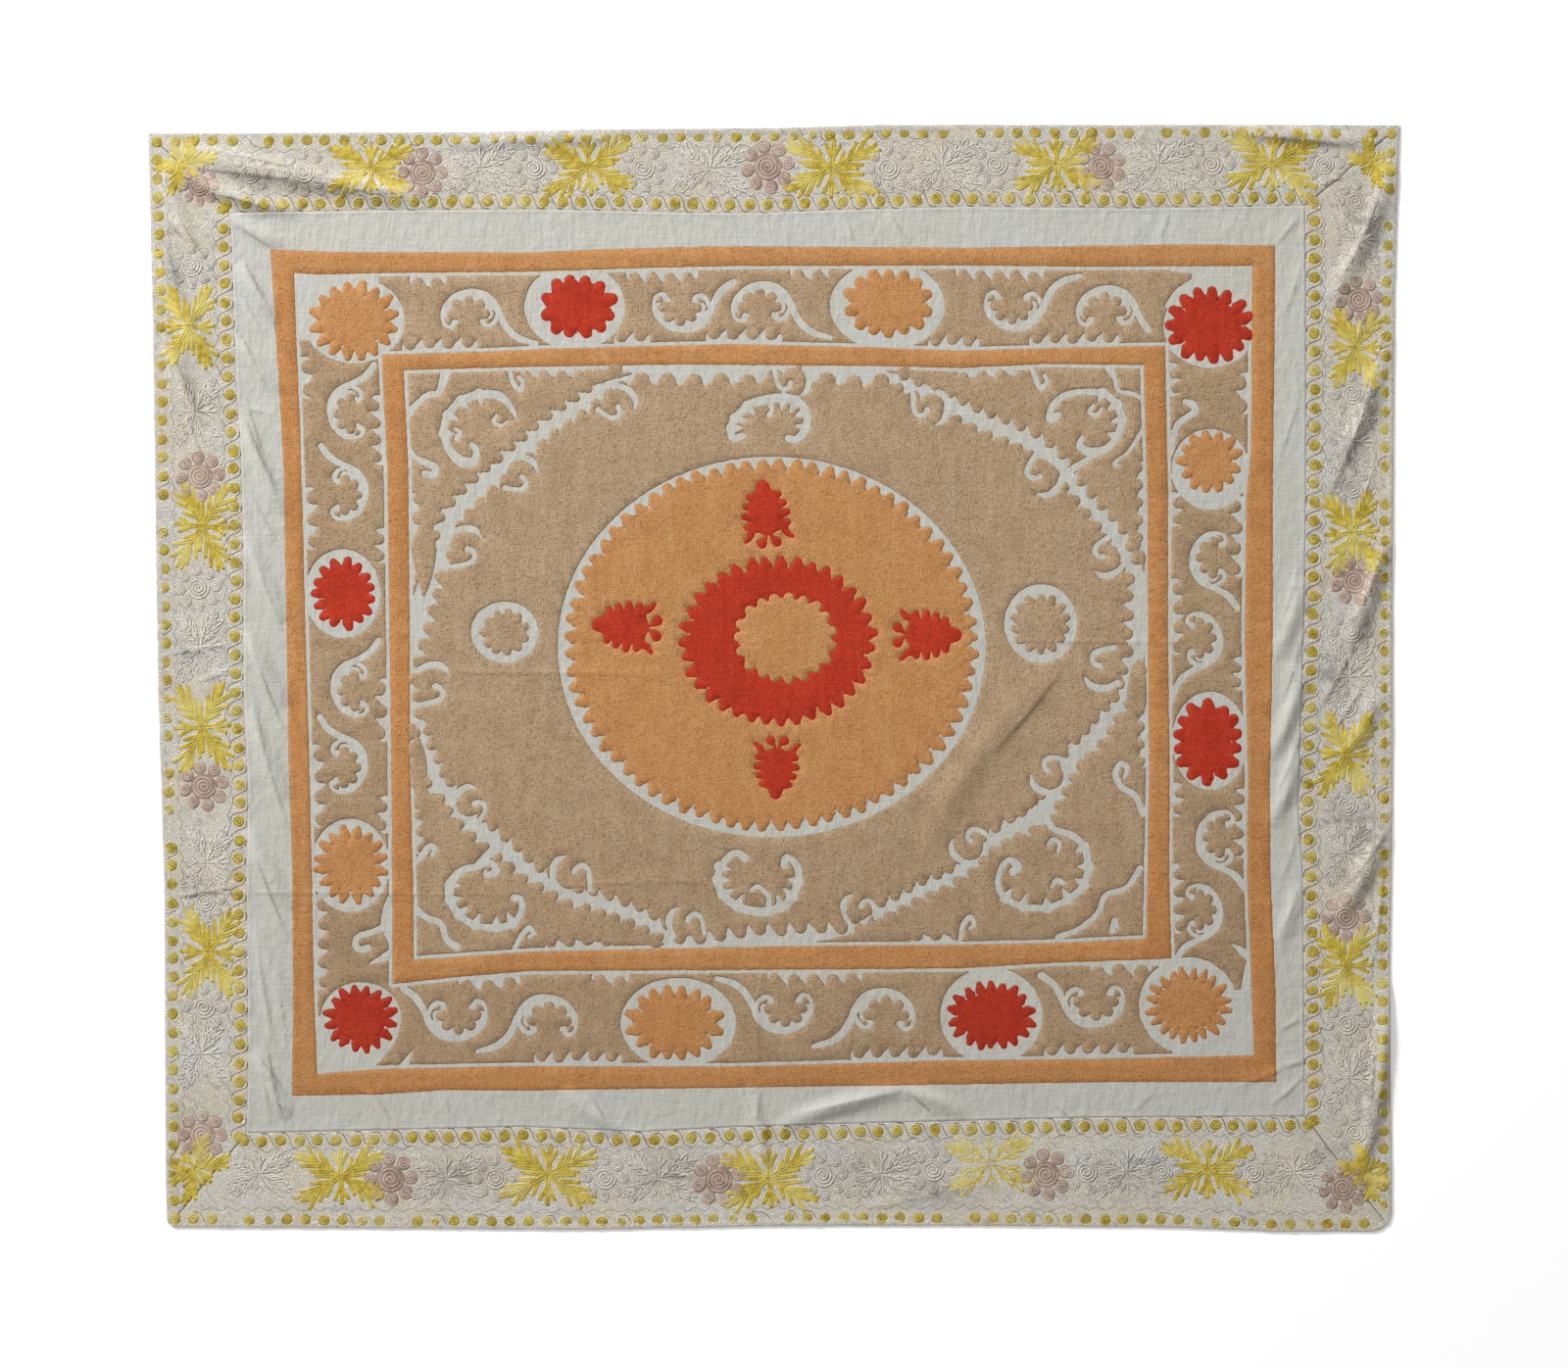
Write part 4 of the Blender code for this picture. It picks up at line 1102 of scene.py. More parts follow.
# The palmettes on the disc: base, length and heading. The template runs along x from the base to the tip,
# in units of the length. Rows: x, y, half width.
PALMETTES = [
    (at(784, 547), pixels(58), 97), (at(663, 641), pixels(60), 176), (at(923, 648), pixels(59), 0),
    (at(793, 762), pixels(54), -92),
]
PALMETTE_BODY = [(0.30, 0.0, 0.29), (0.48, 0.0, 0.27), (0.68, 0.0, 0.20), (0.87, 0.0, 0.13)]
PALMETTE_SIDES = [(0.18, 0.36), (0.36, 0.38), (0.53, 0.33), (0.69, 0.26)]
PALMETTE_HOOK = [(0.16, 0.28, 0.09), (0.03, 0.32, 0.07), (-0.05, 0.41, 0.05)]
PALMETTE_HEART = [(0.04, 0.02, 0.03), (-0.05, 0.07, 0.05), (-0.12, 0.13, 0.10)]

# Drawing the embroidery on the canvases.
EMBROIDERY_LOW = (-0.900, -0.745)
EMBROIDERY_HIGH = (0.900, 0.775)


def outline_of(lines):
    """A closed outline from a frame's four edge lines."""
    return np.array(lines["top"] + lines["right"][::-1] + lines["bottom"][::-1] + lines["left"])


def outline_distance(outline):
    """The signed distance to a closed outline over the whole embroidered area."""
    canvas = Canvas(EMBROIDERY_LOW, EMBROIDERY_HIGH)
    canvas.field[:] = 0.2
    canvas.patch(outline, whole=True)
    return canvas.field


def placed(rows, centre, radius, turn, mirror=1.0):
    """Template rows (x, y, half width) laid down at a centre, size and turn in degrees."""
    angle = np.radians(turn)
    across = np.array([np.cos(angle), np.sin(angle)])
    up = np.array([-np.sin(angle), np.cos(angle)])
    rows = np.asarray(rows, float)
    points = centre + radius * (rows[:, :1] * mirror * across + rows[:, 1:2] * up)
    return np.column_stack([points, radius * rows[:, 2]])


def direction(degrees):
    """The unit vector at an angle."""
    return np.array([np.cos(np.radians(degrees)), np.sin(np.radians(degrees))])


def lobe(canvas, base, outward, half_width, depth, lean=0.0, tip=0.6, cut=False, belly=0.0):
    """One lobe of thread: it stands out from a base line and narrows to a round tip.

    The belly is where it is widest, as a part of its depth.
    """
    angle = np.arctan2(outward[1], outward[0]) + lean
    heading = np.array([np.cos(angle), np.sin(angle)])
    base = np.asarray(base)
    tip_radius = tip * half_width
    start = base + (belly * depth - 0.1 * half_width) * heading
    canvas.bar(start, base + (depth - tip_radius) * heading, half_width, tip_radius, cut)


def lobed(canvas, centre, radii, count, depth, tip=0.6, cut=False):
    """A rosette: an oval with lobes round its rim, evenly spaced along it."""
    inner = np.array(radii) - depth
    canvas.ellipse(centre, inner, 0.0, cut)
    turns = np.radians(np.linspace(0.0, 360.0, 721))
    rim = np.column_stack([inner[0] * np.cos(turns), inner[1] * np.sin(turns)])
    along = np.concatenate([[0.0], np.cumsum(np.hypot(*np.diff(rim, axis=0).T))])
    pitch = along[-1] / count
    for k in range(count):
        place = (k + 0.5 + RNG.uniform(-0.07, 0.07)) * pitch
        point = np.array([np.interp(place, along, rim[:, 0]), np.interp(place, along, rim[:, 1])])
        size = depth * RNG.uniform(0.86, 1.14)
        half_width = 0.5 * pitch * (1.0 + 0.3 * depth / min(inner)) * RNG.uniform(0.94, 1.06)
        lean = RNG.uniform(-0.16, 0.16)
        lobe(canvas, centre + point, point / inner**2, half_width, size, lean, tip, cut, 0.3)


def lobes_beside(canvas, path, side, pitch, depth, lean, extra):
    """Lobes that stand into a bare channel from one of its sides."""
    points, headings = resampled(path, pitch)
    for point, heading in zip(points, headings):
        normal = side * np.array([-heading[1], heading[0]])
        size = depth * RNG.uniform(0.85, 1.12)
        lobe(canvas, point[:2] + normal * (point[2] + extra), -normal, 0.53 * pitch, size, lean, 0.64)


def toothed(canvas, line, runs, across, inward, lean, length=TOOTH_LENGTH):
    """Teeth along one edge of a tan area: the edge is cut back and lobes are set on it."""
    line = np.asarray(line, float)
    order = np.argsort(line[:, across])
    for run_start, run_end in runs:
        low, high = min(run_start, run_end), max(run_start, run_end)
        count = max(1, int(round((high - low) / TOOTH_PITCH)))
        pitch = (high - low) / count
        edge = np.linspace(low, high, 2 * count + 1)
        aside = np.interp(edge, line[order, across], line[order, 1 - across]) + inward * GAP
        middle = np.column_stack([edge, aside + inward * 0.25 * length])
        middle = middle if across == 0 else middle[:, ::-1]
        canvas.ribbon(np.column_stack([middle, np.full(len(middle), 0.75 * length)])[1:-1], cut=True)
        for k in range(count):
            base = aside[2 * k + 1] + inward * length
            place = (edge[2 * k + 1], base) if across == 0 else (base, edge[2 * k + 1])
            outward = (0.0, -inward) if across == 0 else (-inward, 0.0)
            lobe(canvas, place, outward, 0.54 * pitch, length * RNG.uniform(0.86, 1.04), lean, 0.62)


def cut_notches(canvas, notches):
    """Single notches. Rows: the place of the wide end and of the point in the photo."""
    for column, row, end_column, end_row in notches:
        canvas.bar(at(column, row), at(end_column, end_row), CUT_WIDE, CUT_NARROW, cut=True)


def draw_border():
    """The tan border between the two orange frames."""
    canvas = Canvas(EMBROIDERY_LOW, EMBROIDERY_HIGH)
    x, y = np.meshgrid(canvas.xs, canvas.ys)
    outside, inside = FIELD_DISTANCES["outer_inside"], FIELD_DISTANCES["inner_outside"]
    reach = np.full(x.shape, 1.0)
    for side, (low, high) in BORDER_REACH.items():
        along, over = (x, y) if side in ("top", "bottom") else (y, x)
        sign = 1.0 if side in ("top", "right") else -1.0
        beyond = sign * (BORDER_LIMITS[side] - over)
        reach = np.minimum(reach, np.maximum.reduce([low - along, along - high, beyond]))
    canvas.field = np.maximum.reduce([outside + GAP, GAP - inside, reach])
    for side, across, inward in SIDES:
        lean = 0.25 if side in ("top", "left") else -0.25
        toothed(canvas, OUTER_FRAME_INSIDE[side], OUTSIDE_TEETH[side], across, inward, lean)
        toothed(canvas, INNER_FRAME_OUTSIDE[side], INSIDE_TEETH[side], across, -inward, -lean)
    for scroll in BORDER_SCROLLS:
        where = (scroll.centre, scroll.radius, scroll.turn, scroll.mirror)
        canvas.ribbon(smooth(placed(RING, *where)), cut=True)
        tail = np.array(TAIL)[: max(3, int(round(scroll.tail * len(TAIL))))]
        canvas.ribbon(smooth(placed(tail, *where)), cut=True)
        canvas.ribbon(smooth(placed(HOOK, *where)), cut=True)
        notch = [(*LEAF_NOTCH * direction(angle), NOTCH_HALF_WIDTH) for angle in range(0, 195, 15)]
        canvas.ribbon(placed(notch, *where), cut=True)
        for angle in LEAF_LOBES:
            root, crown = LEAF_ROOT * direction(angle), LEAF_CROWN * direction(angle)
            canvas.ribbon(placed([(*root, ROOT_HALF_WIDTH), (*crown, CROWN_HALF_WIDTH)], *where))
    for rows in BORDER_STROKES:
        canvas.ribbon(smooth(rows), cut=True)
    cut_notches(canvas, BORDER_CUTS)
    for rosette in ROSETTES:
        canvas.ellipse(rosette.oval_centre, rosette.oval, 0.0, cut=True)
    return canvas


def draw_field():
    """The tan field inside the inner frame, with the bare channel round its great oval."""
    canvas = Canvas(EMBROIDERY_LOW, EMBROIDERY_HIGH)
    canvas.field = FIELD_DISTANCES["inner_inside"] + GAP
    for side, across, inward in SIDES:
        toothed(canvas, INNER_FRAME_INSIDE[side], FIELD_TEETH[side], across, inward, 0.2, FIELD_TOOTH_LENGTH)
    paths = {name: smooth(rows) for name, rows in CHANNELS.items()}
    side_paths = {name: smooth(rows) for name, rows in SIDE_CHANNELS.items()}
    for path in paths.values():
        canvas.ribbon(path + (0.0, 0.0, CHANNEL_EXTRA), cut=True)
    for path in side_paths.values():
        canvas.ribbon(path, cut=True)
    for rows in CORNER_LEAVES:
        canvas.ribbon(smooth(rows))
    for name, side, pitch, depth in CHANNEL_LOBES:
        lobes_beside(canvas, paths[name], side, pitch, depth, 0.35 * side, CHANNEL_EXTRA)
    for name, side, pitch, depth in SIDE_LOBES:
        lobes_beside(canvas, side_paths[name], side, pitch, depth, 0.15 * side, 0.0)
    for volute in VOLUTES:
        canvas.ellipse(volute.centre, (volute.radius, volute.radius))
        where = (volute.centre, volute.radius, volute.facing - 90.0)
        canvas.ribbon(smooth(placed(VOLUTE_HOOK, *where)), cut=True)
        canvas.ribbon(smooth(placed(VOLUTE_CRESCENT, *where)), cut=True)
    for rows in CORNER_STROKES:
        canvas.ribbon(smooth(rows), cut=True)
    for rows in FIELD_RINGS:
        canvas.ribbon(smooth(rows), cut=True)
    cut_notches(canvas, LEAF_CUTS)
    for centre, radii, petals, oval in FIELD_ROSETTES:
        canvas.ellipse(centre, oval, 0.0, cut=True)
        lobed(canvas, centre, radii, petals, 0.26 * radii[0], ROUND_TIP)
    canvas.ellipse(*DISC_OVAL, cut=True)
    return canvas


def draw_gold_and_red():
    """The orange disc and rosettes, and the red ring, palmettes and rosettes laid into them."""
    red = Canvas(EMBROIDERY_LOW, EMBROIDERY_HIGH)
    lobed(red, *RED_RING)
    lobed(red, *CENTRE_ROSETTE, cut=True)
    for palmette in PALMETTES:
        red.ribbon(placed(PALMETTE_BODY, *palmette))
        for flip in (-1.0, 1.0):
            for along, aside in PALMETTE_SIDES:
                leaflet = [(along, flip * 0.18, 0.12), (along + 0.02, flip * aside, 0.07)]
                red.ribbon(placed(leaflet, *palmette))
            for rows in (PALMETTE_HOOK, PALMETTE_HEART):
                red.ribbon(smooth(placed(np.array(rows) * (1.0, flip, 1.0), *palmette)))
    gold = Canvas(EMBROIDERY_LOW, EMBROIDERY_HIGH)
    lobed(gold, *DISC)
    for rosette in ROSETTES:
        canvas = red if rosette.colour == "red" else gold
        tip = POINTED_TIP if rosette.petals > ROUND_PETALS else ROUND_TIP
        depth = PETAL_DEPTH * min(rosette.radii)
        lobed(canvas, rosette.centre, rosette.radii, rosette.petals, depth, tip)
    gold.field = np.maximum(gold.field, -BEVEL - red.field)
    return gold, red


def draw_frames():
    """The two orange frames."""
    canvas = Canvas(EMBROIDERY_LOW, EMBROIDERY_HIGH)
    outer = np.maximum(FIELD_DISTANCES["outer_outside"], -FIELD_DISTANCES["outer_inside"])
    inner = np.maximum(FIELD_DISTANCES["inner_outside"], -FIELD_DISTANCES["inner_inside"])
    canvas.field = np.minimum(outer, inner)
    return canvas


FIELD_DISTANCES = {
    "outer_outside": outline_distance(outline_of(OUTER_FRAME_OUTSIDE)),
    "outer_inside": outline_distance(outline_of(OUTER_FRAME_INSIDE)),
    "inner_outside": outline_distance(outline_of(INNER_FRAME_OUTSIDE)),
    "inner_inside": outline_distance(outline_of(INNER_FRAME_INSIDE)),
}

# Turning a canvas into raised thread. A rise of RAISED stands over the cloth, rounded down over BEVEL
# at every edge, and the edge itself is sunk into the cloth as stitches are.
RAISED = 0.0009
SUNK = 0.0004
BEVEL = 0.0018
RINGS = (0.0, 0.0007, 0.0018)
CHUNK = 6
TOLERANCE = 0.00016

# For each case of a grid cell's four corners, the cell edges that the outline runs from and to.
BOTTOM, RIGHT, TOP, LEFT = range(4)
CASES = {
    1: [(BOTTOM, LEFT)], 2: [(RIGHT, BOTTOM)], 3: [(RIGHT, LEFT)], 4: [(TOP, RIGHT)],
    5: [(BOTTOM, LEFT), (TOP, RIGHT)], 6: [(TOP, BOTTOM)], 7: [(TOP, LEFT)], 8: [(LEFT, TOP)],
    9: [(BOTTOM, TOP)], 10: [(RIGHT, BOTTOM), (LEFT, TOP)], 11: [(RIGHT, TOP)], 12: [(LEFT, RIGHT)],
    13: [(BOTTOM, RIGHT)], 14: [(LEFT, BOTTOM)],
}


def contours(canvas, level):
    """The closed outlines along which the canvas has one level, thread on the left."""
    field = canvas.field + level
    inside = field < 0.0
    rows, columns = field.shape
    case = inside[:-1, :-1] * 1 + inside[:-1, 1:] * 2 + inside[1:, 1:] * 4 + inside[1:, :-1] * 8

    def edge_id(kind, row, column):
        """The number of a cell's edge. The level ones come first, then the upright ones."""
        if kind == BOTTOM:
            return row * columns + column
        if kind == TOP:
            return (row + 1) * columns + column
        shift = rows * columns
        return shift + row * columns + column + (1 if kind == RIGHT else 0)

    starts, ends = [], []
    for value, pairs in CASES.items():
        row, column = np.nonzero(case == value)
        for start, end in pairs:
            starts.append(edge_id(start, row, column))
            ends.append(edge_id(end, row, column))
    starts, ends = np.concatenate(starts), np.concatenate(ends)
    following = dict(zip(starts.tolist(), ends.tolist()))

    loops = []
    while following:
        first, step = following.popitem()
        loop = [first]
        while step != first:
            loop.append(step)
            step = following.pop(step)
        loops.append(np.array(loop))

    outlines = []
    for loop in loops:
        upright = loop >= rows * columns
        index = loop - upright * rows * columns
        row, column = index // columns, index % columns
        row_end, column_end = row + upright, column + ~upright
        a, b = field[row, column], field[row_end, column_end]
        t = a / (a - b)
        x = canvas.xs[column] + t * (canvas.xs[column_end] - canvas.xs[column])
        y = canvas.ys[row] + t * (canvas.ys[row_end] - canvas.ys[row])
        outlines.append(np.column_stack([x, y]))
    return outlines


def simplified(points):
    """The points of an outline that its shape needs, never further apart than a chunk."""
    kept = []
    count = len(points)
    bounds = list(range(0, count - CHUNK // 2, CHUNK)) + [count]
    ring = np.vstack([points, points[:1]])
    for low, high in zip(bounds[:-1], bounds[1:]):
        stack = [(low, high)]
        chosen = [low]
        while stack:
            start, end = stack.pop()
            if end - start < 2:
                continue
            run = ring[end] - ring[start]
            offsets = ring[start + 1 : end] - ring[start]
            away = np.abs(run[0] * offsets[:, 1] - run[1] * offsets[:, 0]) / max(np.hypot(*run), 1e-9)
            worst = int(np.argmax(away))
            if away[worst] > TOLERANCE:
                middle = start + 1 + worst
                chosen.append(middle)
                stack += [(start, middle), (middle, end)]
        kept += sorted(chosen)
    return points[kept]


def sampled(canvas, x, y):
    """The canvas's distance at any points."""
    cell = canvas.xs[1] - canvas.xs[0]
    column = np.clip((x - canvas.xs[0]) / cell, 0, len(canvas.xs) - 1.001)
    row = np.clip((y - canvas.ys[0]) / cell, 0, len(canvas.ys) - 1.001)
    c, r = column.astype(int), row.astype(int)
    s, t = column - c, row - r
    field = canvas.field
    low = field[r, c] * (1 - s) + field[r, c + 1] * s
    high = field[r + 1, c] * (1 - s) + field[r + 1, c + 1] * s
    return low * (1 - t) + high * t


def inner_points(canvas):
    """Points inside the thread: far apart on flat cloth and close together on the folds."""
    points = chosen_points((canvas.xs[0], canvas.ys[0]), (canvas.xs[-1], canvas.ys[-1]), THREAD_PITCHES)
    return points[sampled(canvas, *points.T) < -BEVEL - 0.0012]


def add_thread(name, canvas, thickness, materials, raised=RAISED, choose=None):
    """Raised thread over the cloth, from the canvas. choose gives each face's material from its middle."""
    points, edges = [], []
    count = 0
    for level in RINGS:
        for outline in contours(canvas, level):
            if len(outline) < 9:
                continue
            ring = simplified(outline)
            if len(ring) < 4:
                continue
            index = np.arange(count, count + len(ring))
            edges.append(np.column_stack([index, np.roll(index, -1)]))
            points.append(ring)
            count += len(ring)
    points.append(inner_points(canvas))
    points, edges = np.concatenate(points), np.concatenate(edges)
    flat, _, triangles, *_ = delaunay_2d_cdt(
        [Vector(p) for p in points.tolist()], edges.tolist(), [], 0, 1e-7
    )
    flat = np.array([tuple(p) for p in flat])
    triangles = np.array(triangles)
    middle = flat[triangles].mean(axis=1)
    triangles = triangles[sampled(canvas, middle[:, 0], middle[:, 1]) < 0.0]
    used, triangles = np.unique(triangles, return_inverse=True)
    flat, triangles = flat[used], triangles.reshape(-1, 3)
    x, y = flat.T
    depth = np.clip(-sampled(canvas, x, y) / BEVEL, 0.0, 1.0)
    rise = (SUNK + raised) * np.sin(0.5 * np.pi * depth) - SUNK
    z = lie(x, y) + thickness + rise
    mesh = bpy.data.meshes.new(name)
    mesh.from_pydata(np.column_stack([x, y, z]).tolist(), [], triangles.tolist())
    rim = mesh.attributes.new("rim", "FLOAT", "POINT")
    rim.data.foreach_set("value", (1.0 - depth).astype(np.float32))
    mark_hollows(mesh, x, y)
    for material in materials:
        mesh.materials.append(material)
    if choose is not None:
        middle = flat[triangles].mean(axis=1)
        mesh.polygons.foreach_set("material_index", choose(middle[:, 0], middle[:, 1]).astype(np.int32))
    mesh.shade_smooth()
    thread = bpy.data.objects.new(name, mesh)
    bpy.context.scene.collection.objects.link(thread)
    return thread


def add_lines(name, paths, half_width, raised, thickness, material):
    """Lines of chain stitch: each path is a low rounded rib on the cloth."""
    verts, faces = [], []
    count = 0
    for path in paths:
        path = np.asarray(path, float)
        heading = np.gradient(path[:, :2], axis=0)
        heading /= np.maximum(np.hypot(*heading.T), 1e-9)[:, None]
        normal = np.column_stack([-heading[:, 1], heading[:, 0]]) * half_width
        for offset, rise in ((-1.0, -0.0002), (0.0, raised), (1.0, -0.0002)):
            place = path[:, :2] + offset * normal
            z = lie(place[:, 0], place[:, 1]) + thickness + rise
            verts.append(np.column_stack([place, z]))
        n = len(path)
        k = np.arange(n - 1)
        for low in (0, n):
            a, b, c, d = count + low + k, count + low + k + 1, count + low + n + k + 1, count + low + n + k
            faces.append(np.column_stack([a, b, c, d]))
        count += 3 * n
    mesh = bpy.data.meshes.new(name)
    mesh.from_pydata(np.concatenate(verts).tolist(), [], np.concatenate(faces).tolist())
    mesh.materials.append(material)
    mesh.shade_smooth()
    lines = bpy.data.objects.new(name, mesh)
    bpy.context.scene.collection.objects.link(lines)
    return lines


# The border strips' embroidery: yellow cross leaves, rose rosettes, and pale ones between them.
Motif = namedtuple("Motif", "place size turn")


def motifs(*rows):
    """Figures of the border strips. Rows: the place and the size in the photo, and the turn."""
    return [Motif(at(column, row), pixels(size), turn) for column, row, size, turn in rows]


CROSS_LEAVES = motifs(
    (378, 172, 41, 0), (600, 170, 45, 4), (848, 172, 46, -3), (1078, 168, 43, 3), (1298, 166, 45, -4),
    (187, 166, 30, 40), (1400, 166, 24, -45), (193, 333, 40, 90), (206, 537, 43, 86), (207, 742, 44, 93),
    (213, 972, 44, 88), (200, 1192, 33, 45), (1383, 355, 40, 90), (1379, 544, 42, 95), (1373, 769, 42, 86),
    (1373, 986, 42, 92), (1394, 1196, 28, -45), (347, 1200, 44, 2), (559, 1199, 47, -3), (785, 1202, 46, 3),
    (1232, 1193, 45, -2),
)
FADED_LEAVES = motifs((1010, 1187, 44, 4))
ROSE_ROSETTES = motifs(
    (431, 176, 27, 0), (783, 170, 29, 10), (1123, 170, 27, 20), (203, 190, 22, 0), (204, 486, 27, 5),
    (208, 802, 27, 12), (206, 1158, 27, 0), (1386, 306, 26, 8), (1382, 593, 27, 15), (1373, 936, 27, 3),
    (1370, 1212, 27, 9), (398, 1203, 29, 4), (733, 1204, 29, 16), (1067, 1198, 28, 8),
)
PALE_CROSSES = motifs(
    (490, 172, 34, 3), (725, 172, 38, -4), (962, 170, 38, 5), (1182, 168, 36, 0), (200, 420, 34, 88),
    (204, 660, 36, 93), (210, 880, 36, 87), (205, 1075, 34, 92), (1382, 245, 34, 90), (1378, 450, 34, 86),
    (1376, 690, 36, 92), (1374, 870, 34, 90), (1378, 1100, 36, 88), (455, 1202, 36, 2), (672, 1202, 38, -3),
    (900, 1198, 38, 3), (1150, 1196, 36, 0), (1320, 1196, 32, 4), (265, 1198, 32, 0),
)
PALE_ROSETTES = motifs(
    (545, 172, 25, 0), (656, 172, 25, 9), (906, 172, 26, 4), (1016, 168, 26, 12), (1236, 168, 25, 0),
    (310, 176, 25, 6), (1350, 168, 22, 2), (255, 178, 22, 2), (195, 272, 24, 3), (202, 600, 25, 7),
    (208, 1028, 25, 0), (209, 920, 22, 8), (1384, 206, 23, 0), (1380, 402, 24, 6), (1380, 498, 22, 3),
    (1378, 645, 24, 0), (1374, 722, 22, 9), (1374, 822, 24, 3), (1374, 1045, 25, 6), (1382, 1156, 24, 0),
    (505, 1202, 25, 4), (617, 1202, 25, 0), (840, 1200, 26, 7), (952, 1194, 25, 2), (1108, 1196, 24, 5),
    (1186, 1196, 22, 0), (1278, 1196, 23, 8),
)

# A compound leaf of a cross, in units of the motif's size: bars from and to, with their half widths.
LEAF_BARS = [
    ((0.06, 0.04), (0.84, 0.60), 0.07, 0.06), ((0.60, 0.40), (0.98, 0.66), 0.065, 0.045),
    ((0.36, 0.26), (0.50, 0.70), 0.065, 0.045), ((0.54, 0.40), (0.72, 0.84), 0.065, 0.045),
    ((0.46, 0.30), (0.92, 0.36), 0.065, 0.045), ((0.64, 0.44), (1.04, 0.52), 0.055, 0.04),
    ((0.26, 0.14), (0.70, 0.15), 0.06, 0.04), ((0.20, 0.16), (0.30, 0.50), 0.055, 0.035),
]
SPIKE_BARS = [
    ((0.0, 0.04), (0.02, 0.74), 0.075, 0.06), ((0.0, 0.30), (-0.16, 0.64), 0.055, 0.04),
    ((0.0, 0.30), (0.17, 0.62), 0.055, 0.04),
]
ARM_BARS = [((0.04, 0.0), (0.58, 0.03), 0.065, 0.04)]

# The canvases of the border strips, and how far their worked ground stands up.
STRIPS_LOW = (-1.1, -0.975)
STRIPS_HIGH = (1.1, 0.975)
STRIP_CELL = 0.0010
GROUND_RISE = 0.0005
TRIMMED_ROOM = 0.001

# Lines of chain stitch: half width and rise.
LEAF_RIB = (0.0026, 0.0015)
DOT_COIL = (0.0017, 0.0015)
DOT_LINK = (0.0009, 0.0005)
ROSE_COIL = (0.0022, 0.0015)
PALE_LINE = (0.0018, 0.0012)
SHADE_LINE = (0.0009, 0.0003)
FADED_LINE = (0.0018, 0.0007)
# How far the painted shadow line lies beside each pale line.
SHADE_OFFSET = 0.0021

# Rows of dots and wavy lines along both edges of every strip.
DOT_PITCH = 0.0327
DOT_RADIUS = 0.0105
EDGE_ROOM = 0.0025
WAVE_PITCH = 0.0293
WAVE_HEIGHT = 0.0034
WAVE_OFFSET = pixels(19)
OUTER_DOTS = 0.0138
INNER_DOTS = 0.0155


def turned(points, motif, flip=(1.0, 1.0)):
    """Template points in units of a motif's size, laid down where it is."""
    angle = np.radians(motif.turn)
    across = np.array([np.cos(angle), np.sin(angle)])
    up = np.array([-np.sin(angle), np.cos(angle)])
    points = np.atleast_2d(points) * flip
    return np.array(motif.place) + motif.size * (points[:, :1] * across + points[:, 1:2] * up)


def cross_bars(motif, height=0.85):
    """The bars of a cross of four compound leaves with a spike above and below: ends and half widths."""
    bars = []
    for flip_x in (1.0, -1.0):
        for flip_y in (1.0, -1.0):
            for start, end, wide, narrow in LEAF_BARS:
                swing = RNG.uniform(-0.05, 0.05, 2)
                ends = turned([start, end + swing], motif, (flip_x, flip_y * height))
                bars.append((*ends, wide * motif.size, narrow * motif.size))
        for start, end, wide, narrow in ARM_BARS:
            bars.append((*turned([start, end], motif, (flip_x, 1.0)), wide * motif.size, narrow * motif.size))
    for flip_y in (1.0, -1.0):
        for start, end, wide, narrow in SPIKE_BARS:
            ends = turned([start, end], motif, (1.0, flip_y * height))
            bars.append((*ends, wide * motif.size, narrow * motif.size))
    return bars


def bar_ribs(bars):
    """Two rows of chain stitch along every bar, side by side."""
    ribs = []
    for start, end, wide, _ in bars:
        run = (end - start) / np.hypot(*(end - start))
        aside = np.array([-run[1], run[0]]) * 0.52 * wide
        for side in (-1.0, 1.0):
            row = np.linspace(start + side * aside, end + 0.5 * side * aside, 4)
            ribs.append(row + RNG.uniform(-0.0004, 0.0004, row.shape))
    return ribs


def coil(centre, radius, turns, inner=0.25, start=0.0, per_turn=12):
    """A spiral path from the middle outwards."""
    t = np.linspace(0.0, 1.0, int(per_turn * turns) + 1)
    angle = start + 2.0 * np.pi * turns * t
    reach = radius * (inner + (1.0 - inner) * t)
    return np.column_stack([centre[0] + reach * np.cos(angle), centre[1] + reach * np.sin(angle)])


def rosette_paths(motif):
    """Eight round petals, each a small coil, round a larger coil."""
    paths = [coil(motif.place, 0.45 * motif.size, 3.0, 0.08, np.radians(motif.turn), 14)]
    for k in range(8):
        angle = np.radians(motif.turn + 45.0 * k)
        centre = np.array(motif.place) + 0.72 * motif.size * np.array([np.cos(angle), np.sin(angle)])
        paths.append(coil(centre, 0.22 * motif.size, 2.1, 0.16, angle, 10))
    return paths


def draw_rosette(canvas, motif):
    """The worked ground under a rosette: one disc in the middle and eight round it."""
    canvas.ellipse(motif.place, (0.50 * motif.size, 0.50 * motif.size))
    for k in range(8):
        middle = np.array(motif.place) + 0.72 * motif.size * direction(motif.turn + 45.0 * k)
        canvas.ellipse(middle, (0.26 * motif.size, 0.26 * motif.size))


def beside(paths, shift):
    """The same lines a little to one side of themselves."""
    moved = []
    for path in paths:
        heading = np.gradient(path[:, :2], axis=0)
        heading /= np.maximum(np.hypot(*heading.T), 1e-9)[:, None]
        moved.append(path[:, :2] + shift * np.column_stack([heading[:, 1], -heading[:, 0]]))
    return moved


